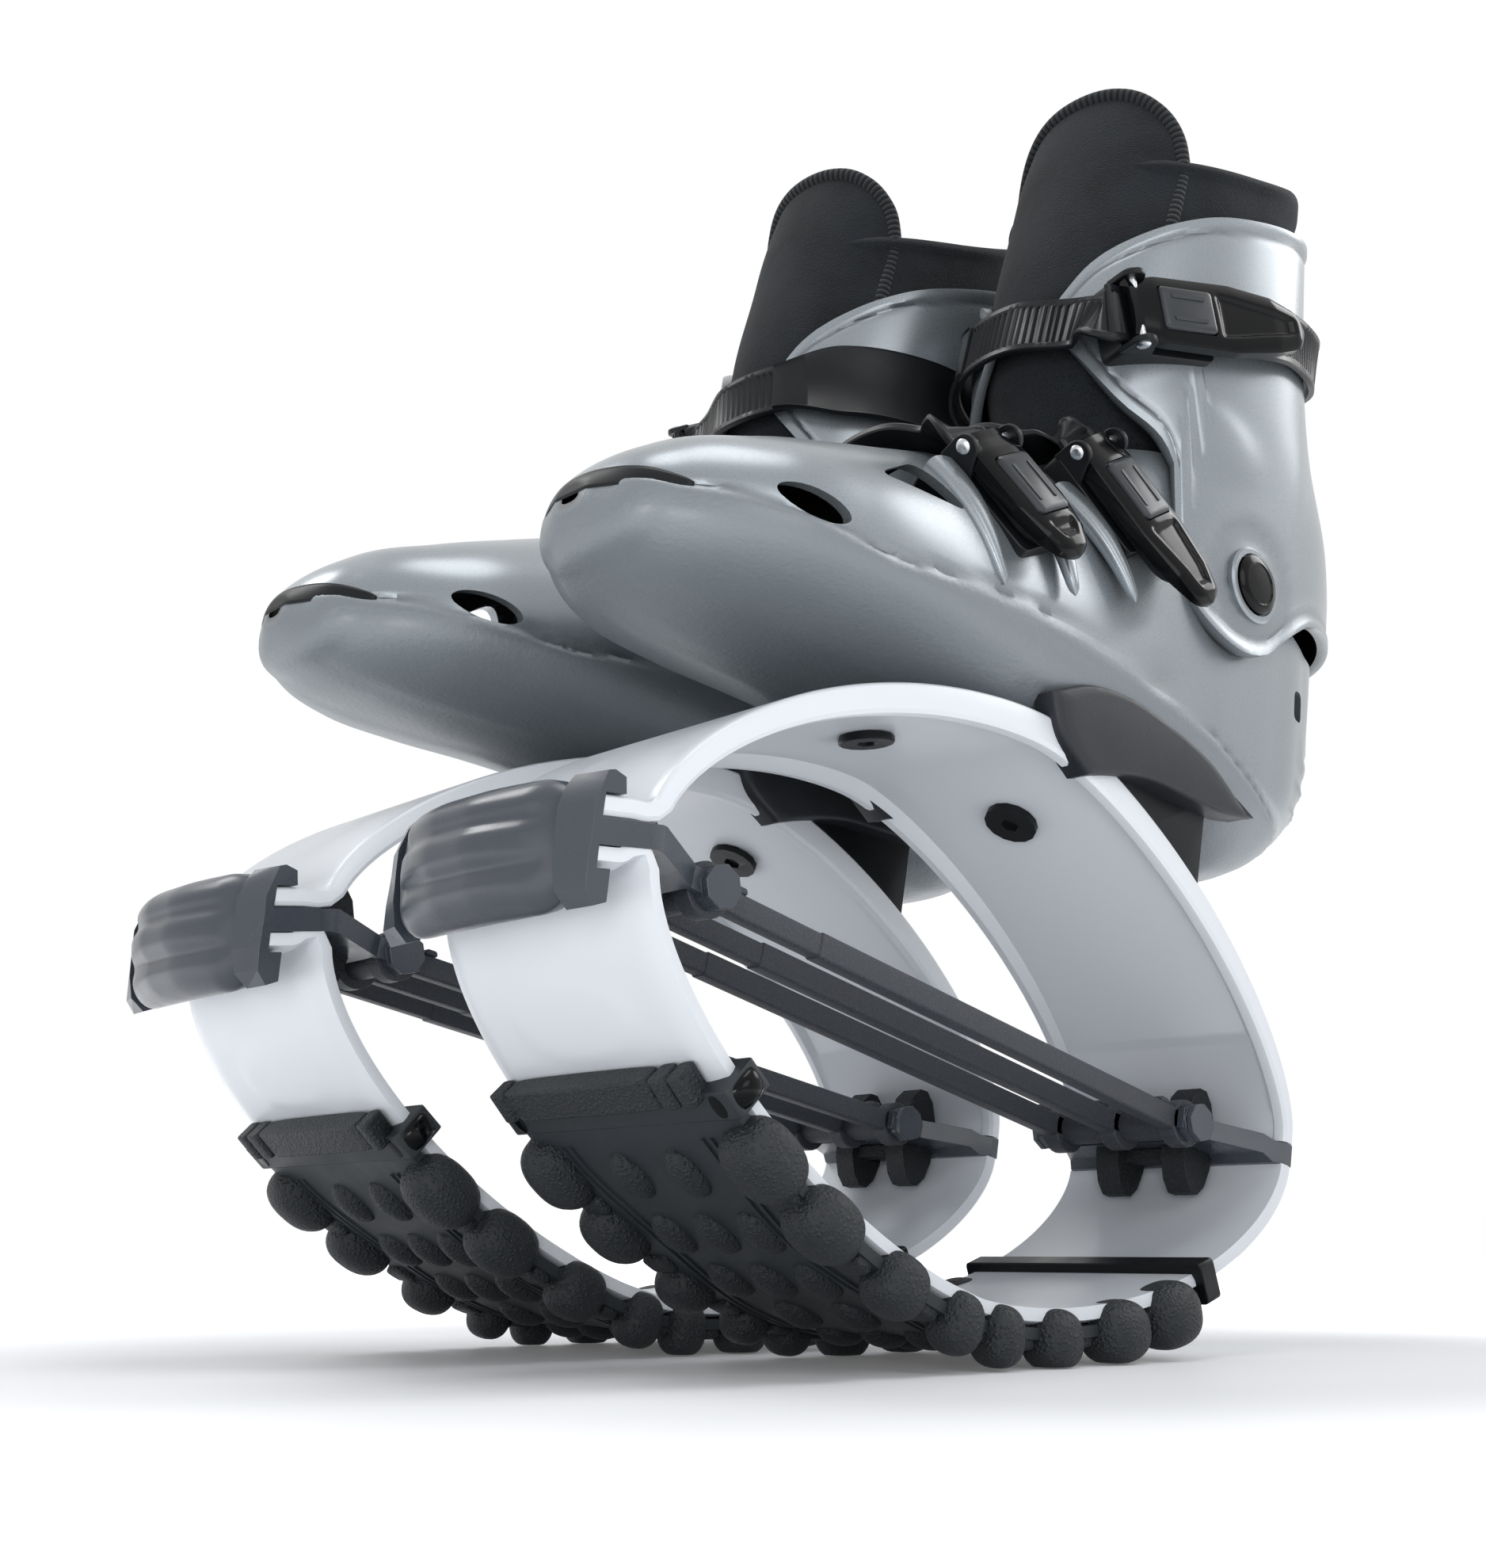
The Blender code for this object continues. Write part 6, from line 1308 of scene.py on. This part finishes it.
def ladder(side, name, body, replaces=()):
    """A toothed ladder strap: raised side rails and sloped rungs between them."""
    centre, out, across, _ = strap_track(name)
    far = distance(centre)
    reads = np.arange(0, far[-1], LADDER_STEP)
    centre, out, across = (np.stack([np.interp(reads, far, v) for v in a.T], axis=1)
                           for a in (centre, out, across))
    total = reads[-1]
    tooth = 1.0 - np.mod(reads, RUNG_PITCH) / RUNG_PITCH
    blank = ramp(reads, 6, 9) * ramp(-reads, -(total - 9), -(total - 12))
    half = LADDER_HALF * rounded_end((9 - reads) / 9.5, 2.4) * rounded_end((reads - total + 9) / 9.5, 2.4)
    profile = np.array((-1.0, -0.96, -0.80, -0.76, -0.72, 0.72, 0.76, 0.80, 0.96, 1.0, 1.0, 0.96, -0.96,
                        -1.0))
    height = np.tile(np.array((0.7, 1.2, 1.2, 0.9, 0, 0, 0.9, 1.2, 1.2, 0.7, -0.7, -1.2, -1.2, -0.7)),
                     (len(reads), 1))
    for k in (4, 5):
        height[:, k] = 0.15 + 0.95 * tooth * blank + (1 - blank) * 0.9
    height[:, 3] = height[:, 6] = np.maximum(height[:, 4], 0.9)
    shape = Shape().tube(sweep(centre, across, out, half[:, None] * profile, height))
    make_piece(side, f"{name}_ladder", shape, "strap", body, replaces, smooth=30)


def shin_pad(side):
    """The smooth wide pad that carries the ladder round the front and inner side of the shin."""
    centre, out, across, _ = strap_track("shin")
    centre, out, across = (line[PAD_TRACK_START:][::-1] for line in (centre, out, across))
    far = distance(centre)
    total = far[-1]
    half = SHIN_PAD_HALF * rounded_end((12 - far) / 12.5, 2.2)
    half *= 1 - 0.35 * ramp(far, total - 26, total)
    profile = np.array((-1.0, -0.94, -0.88, 0, 0.88, 0.94, 1.0, 0.94, -0.94))
    height = np.array((1.6, 2.9, 2.3, 2.2, 2.3, 2.9, 1.6, 1.0, 1.0)) - 0.4
    shape = Shape().tube(sweep(centre, across, out, half[:, None] * profile, height))
    make_piece(side, "shin_pad_strap", shape, "satin", "shin_cuff", ("shin_strap",))


def lever(side, name):
    """A lever: a tapered, bowed bar with a long groove and a window for its button."""
    _, _, length = buckle_axes(name)
    along = np.concatenate((np.linspace(-3.0, 6, 10), np.linspace(6.5, length - 3, 50),
                            length - 3 + 3 * np.sin(np.linspace(0.1, 1, 9) * math.pi / 2)))
    share = np.clip(along / length, 0, 1)
    half = np.interp(share, (0, 0.12, 0.55, 0.8, 1.0), (10.4, 12.0, 12.4, 10.2, 6.2))
    half = half * rounded_end((along - (length - 4.5)) / 4.6, 2.6)
    top = np.interp(share, (0, 0.1, 0.5, 0.8, 0.95, 1.0), (6.4, 7.3, 7.6, 7.5, 6.2, 4.2))
    low = np.interp(share, (0, 0.15, 0.8, 1.0), (1.9, 1.75, 1.75, 2.6))
    first, last = 31.0, length - 5.0
    groove = ramp(along, first + 1, first + 4) * ramp(-along, -last, -last + 4)
    width = 0.62 - 0.30 * np.clip((along - first) / (last - first), 0, 1)
    across = np.concatenate((np.linspace(-1, 1, 41), np.linspace(1, -1, 9)))
    rings = np.zeros((len(along), 50, 3))
    for j, y in enumerate(across):
        rings[:, j, 0] = along
        rings[:, j, 1] = y * half
        if j < 41:
            crown = 1.8 * abs(y) ** 3.2
            dip = 1.5 * groove * (1 - ramp(abs(y), 0.75, 1.05)) * (1 / (1 + np.exp((abs(y) - width) * 34)))
            rings[:, j, 2] = top - crown - dip
        else:
            rings[:, j, 2] = low
    shape = Shape().tube(in_buckle(name, rings))
    piece = make_piece(side, f"{name}_lever_bar", shape, "black", f"{name}_lever", (f"{name}_buckle_lever",),
                       smooth=35)
    outline = filleted(((7.5, -8.0), (30.5, -8.0), (30.5, 8.0), (7.5, 8.0)), 1.8, 4)
    window = Shape().tube(in_buckle(name, rings_at(outline, (4.6, 14.0), axis=2)))
    boolean(piece, cutter(side, window, "black"))
    ease_edges(piece, 0.35, 40)
    piece.data.set_sharp_from_angle(angle=math.radians(35))
    face = filleted(((8.0, -7.5), (30.0, -7.5), (30.0, 7.5), (8.0, 7.5)), 1.6, 4)
    middle = np.array((19.0, 0.0))
    faces = [middle + (face - middle) * (1 - inset / 8.0) for inset in (0.0, 0.0, 0.35, 1.0)]
    button = Shape().tube(in_buckle(name, rings_at(faces, (5.0, 7.8, 8.25, 8.5), axis=2)))
    for y in (-4.0, 4.0):
        ridge = filleted(((12.0, y - 0.7), (26.0, y - 0.7), (26.0, y + 0.7), (12.0, y + 0.7)), 0.6, 3)
        button.tube(in_buckle(name, rings_at(ridge, (8.2, 8.8), axis=2)))
    make_piece(side, f"{name}_button_face", button, "button", f"{name}_button", (f"{name}_buckle_button",),
               smooth=40)


def buckle_base(side, name, body, replaces=()):
    """Ratchet frame: a channel under the strap, two rounded ears, and a steel pin with domed heads."""
    shape = Shape()
    bed = filleted(((-4.5, -13.0), (35.5, -13.0), (35.5, 13.0), (-4.5, 13.0)), 3.0, 4)
    shape.tube(in_buckle(name, rings_at(bed, (-12.0, -1.6), axis=2)))
    for sign in (-1, 1):
        ear = np.vstack((((-4.3, -3.0), (9.0, -3.0)), arc((0.6, BUCKLE_AXIS - 0.6), 4.6, 10, 170, 12)))
        shape.tube(in_buckle(name, rings_at(ear, sorted((sign * 10.8, sign * 12.9)))))
    make_piece(side, f"{name}_ratchet_frame", shape, "satin", body, replaces, bevel=0.4)
    places = np.array((12.8, 12.9, 13.3, 13.8, 14.0))
    radii = np.array((1.4, 2.4, 2.4, 1.9, 0.9))
    heads = circles(np.concatenate((radii[::-1], radii)), 20) + (0, BUCKLE_AXIS)
    pin = Shape().tube(in_buckle(name, rings_at(heads, np.concatenate((-places[::-1], places)))))
    make_piece(side, f"{name}_buckle_pin", pin, "steel", body, (), smooth=40)


def horns(side):
    """Three silver horns that narrow to rounded points beside the levers; the plate shaped to the boot that
    they stand on is not drawn.
    """
    shape = Shape()
    for top, tip in HORNS:
        top, tip = np.array(top), np.array(tip)
        out = unit(np.array((0.12, 0.86, 0.5)))
        share = np.linspace(0, 1, 26)
        path = top + (tip - top) * share[:, None] + out * (1.6 + 3.0 * np.sin(share * math.pi))[:, None]
        tangent = unit(np.gradient(path, axis=0))
        across = unit(np.cross(tangent, out))
        up = np.cross(across, tangent)
        wide = 6.2 * (1 - share**1.6 * 0.80)
        thick = 3.6 * (1 - share**1.8 * 0.62)
        close = rounded_end((share - 0.93) / 0.07, 2, 0.02)
        c, s = power_pair(around(20), 2.8)
        shape.tube(sweep(path, across, up, c * (wide * close)[:, None], s * (thick * close)[:, None]))
    make_piece(side, "strap_horns", shape, "silver", "boot", ("instep_buckle_frame",),
               smooth=50)


def heel_pad(side):
    """Heel pad: the block under the heel, cut from a merged copy of the node, and a fin-shaped blade over
    each
    side, its outline three splines that meet in the toe, the tip and the low corner."""
    block = copy_node(side, "heel_pad", "heel_pad_block", "satin", "boot", bevel=0.9)
    work = bmesh.new()
    work.from_mesh(block.data)
    for sign in (-1, 1):
        place, beyond = (to_row(side, (0, sign * y, 100.0)) for y in (PAD_BLOCK_HALF, PAD_BLOCK_HALF + 10))
        cut = bmesh.ops.bisect_plane(
            work, geom=[*work.verts, *work.edges, *work.faces], plane_co=tuple(place),
            plane_no=tuple(beyond - place),
            clear_outer=True)
        rim = [part for part in cut["geom_cut"] if isinstance(part, bmesh.types.BMEdge)]
        bmesh.ops.holes_fill(work, edges=rim)
    work.to_mesh(block.data)
    work.free()
    edges = [spline(PAD_BLADE[first : last + 1], count) for first, last,
             count in ((0, 5, 40), (5, 10, 36), (10, 12, 12))]
    outline = np.concatenate([edge[:-1] for edge in edges])
    middle = np.array((-40.0, 98.5))
    blades = Shape()
    faces = [middle + (outline - middle) * (1 - inset / 34.0) for inset in (0.0, 0.0, 0.35, 1.1, 2.4, 6.0)]
    for sign in (-1, 1):
        blades.tube(rings_at(faces, sign * np.array((37.5, 44.0, 45.0, 45.6, 45.9, 46.1))))
    make_piece(side, "heel_pad_blades", blades, "blade", "boot", (), smooth=35)


def pivot_caps(side):
    """Ankle pivots: a glossy domed cap in a silver ring, on both sides."""
    for name, sign in (("outer", 1), ("inner", -1)):
        ring, cap = (
            Shape().tube(rings_at(circles(radii, 48) + PIVOT, sign * (PIVOT_FACE + np.array(heights))))
            for radii, heights in (
                ((13.2, 13.2, 12.4, 10.9, 10.6, 10.6), (-1.0, 0.6, 1.3, 1.3, 0.4, -1.0)),
                ((10.3, 10.3, 9.4, 7.4, 6.9, 4.0, 0.3), (-1.0, 1.8, 2.7, 3.1, 2.7, 2.9, 3.0))))
        make_piece(side, f"{name}_pivot_ring", ring, "silver", "shin_cuff", (), smooth=35)
        make_piece(side, f"{name}_pivot_cap", cap, "black", "boot", (f"{name}_rivet",),
                   smooth=35)


# ---------------------------------------------------------------- stage


def stage():
    """Pale floor, soft lamps, white world for what the camera and shiny faces see, and the camera."""
    bpy.ops.mesh.primitive_plane_add(size=FLOOR_SIZE, location=(0, 0, -0.0004))
    floor = bpy.context.object
    floor.name = "floor"
    floor.data.materials.append(plain("pale_floor", linear(238, 239, 241), 0.55))
    for name, place, size, power in LAMPS:
        lamp = bpy.data.lights.new(name, "AREA")
        lamp.size, lamp.energy, lamp.shape = size, power, "DISK"
        thing = in_scene(name, lamp)
        thing.location = place
        aim = LAMP_AIM - np.array(place)
        thing.rotation_euler = (math.atan2(math.hypot(aim[0], aim[1]), -aim[2]), 0,
                                math.atan2(aim[1], aim[0]) - math.pi / 2)
    world = bpy.data.worlds.new("white_room")
    bpy.context.scene.world = world
    world.use_nodes = True
    tree = world.node_tree
    tree.nodes.clear()
    out = tree.nodes.new("ShaderNodeOutputWorld")
    dim, white, mix = (tree.nodes.new(k)
                       for k in ("ShaderNodeBackground", "ShaderNodeBackground", "ShaderNodeMixShader"))
    dim.inputs["Color"].default_value, dim.inputs["Strength"].default_value = WORLD_COLOUR, WORLD_STRENGTH
    white.inputs["Color"].default_value, white.inputs["Strength"].default_value = (1, 1, 1, 1), 1.0
    path = tree.nodes.new("ShaderNodeLightPath")
    total = path.outputs["Is Camera Ray"]
    for other in ("Is Glossy Ray", "Is Transmission Ray"):
        add = tree.nodes.new("ShaderNodeMath")
        add.operation = "MAXIMUM"
        tree.links.new(total, add.inputs[0])
        tree.links.new(path.outputs[other], add.inputs[1])
        total = add.outputs[0]
    tree.links.new(total, mix.inputs[0])
    tree.links.new(dim.outputs[0], mix.inputs[1])
    tree.links.new(white.outputs[0], mix.inputs[2])
    tree.links.new(mix.outputs[0], out.inputs["Surface"])
    camera = bpy.data.cameras.new("camera")
    camera.sensor_fit, camera.sensor_height, camera.lens = "VERTICAL", CAMERA_SENSOR, CAMERA_LENS
    camera.clip_start, camera.clip_end = 0.01, 50
    thing = in_scene("camera", camera)
    thing.location = BOOTS["left"][:3, 3] + CAMERA_FROM_PINS * MM
    thing.rotation_euler = (math.pi / 2 - CAMERA_ELEVATION, 0, CAMERA_AZIMUTH + math.pi / 2)
    bpy.context.scene.camera = thing
    bpy.context.scene.view_settings.view_transform = "Standard"


def boot(side):
    """All pieces of one shoe."""
    for sign, part in ((1, "front"), (-1, "rear")):
        lower_shell(side, sign, f"lower_shell_{part}", f"{part}_hinge")
        upper_shell(side, sign, f"upper_shell_{part}", f"{part}_cover")
        tread(side, sign, part, f"{part}_hinge")
    tread_clips(side)
    hinges(side)
    foot_shell(side)
    toe_vent(side)
    cuff(side)
    liner(side)
    tongue(side)
    heel_pad(side)
    for end in ("front", "rear"):
        copy_node(side, f"{end}_bolt", f"{end}_bolt_cup", "satin", "boot", bevel=0.5)
    ladder(side, "shin", "shin_cuff", ("shin_strap",))
    shin_pad(side)
    ladder(side, "ankle", "boot", ("instep_straps",))
    ladder(side, "toe", "boot", ("instep_straps",))
    buckle_base(side, "shin", "shin_cuff", ("shin_buckle_base",))
    buckle_base(side, "ankle", "boot", ("instep_buckle_frame",))
    buckle_base(side, "toe", "boot", ("instep_buckle_frame",))
    for name in BUCKLES:
        lever(side, name)
    horns(side)
    pivot_caps(side)


for boot_side in SIDES:
    boot(boot_side)
stage()
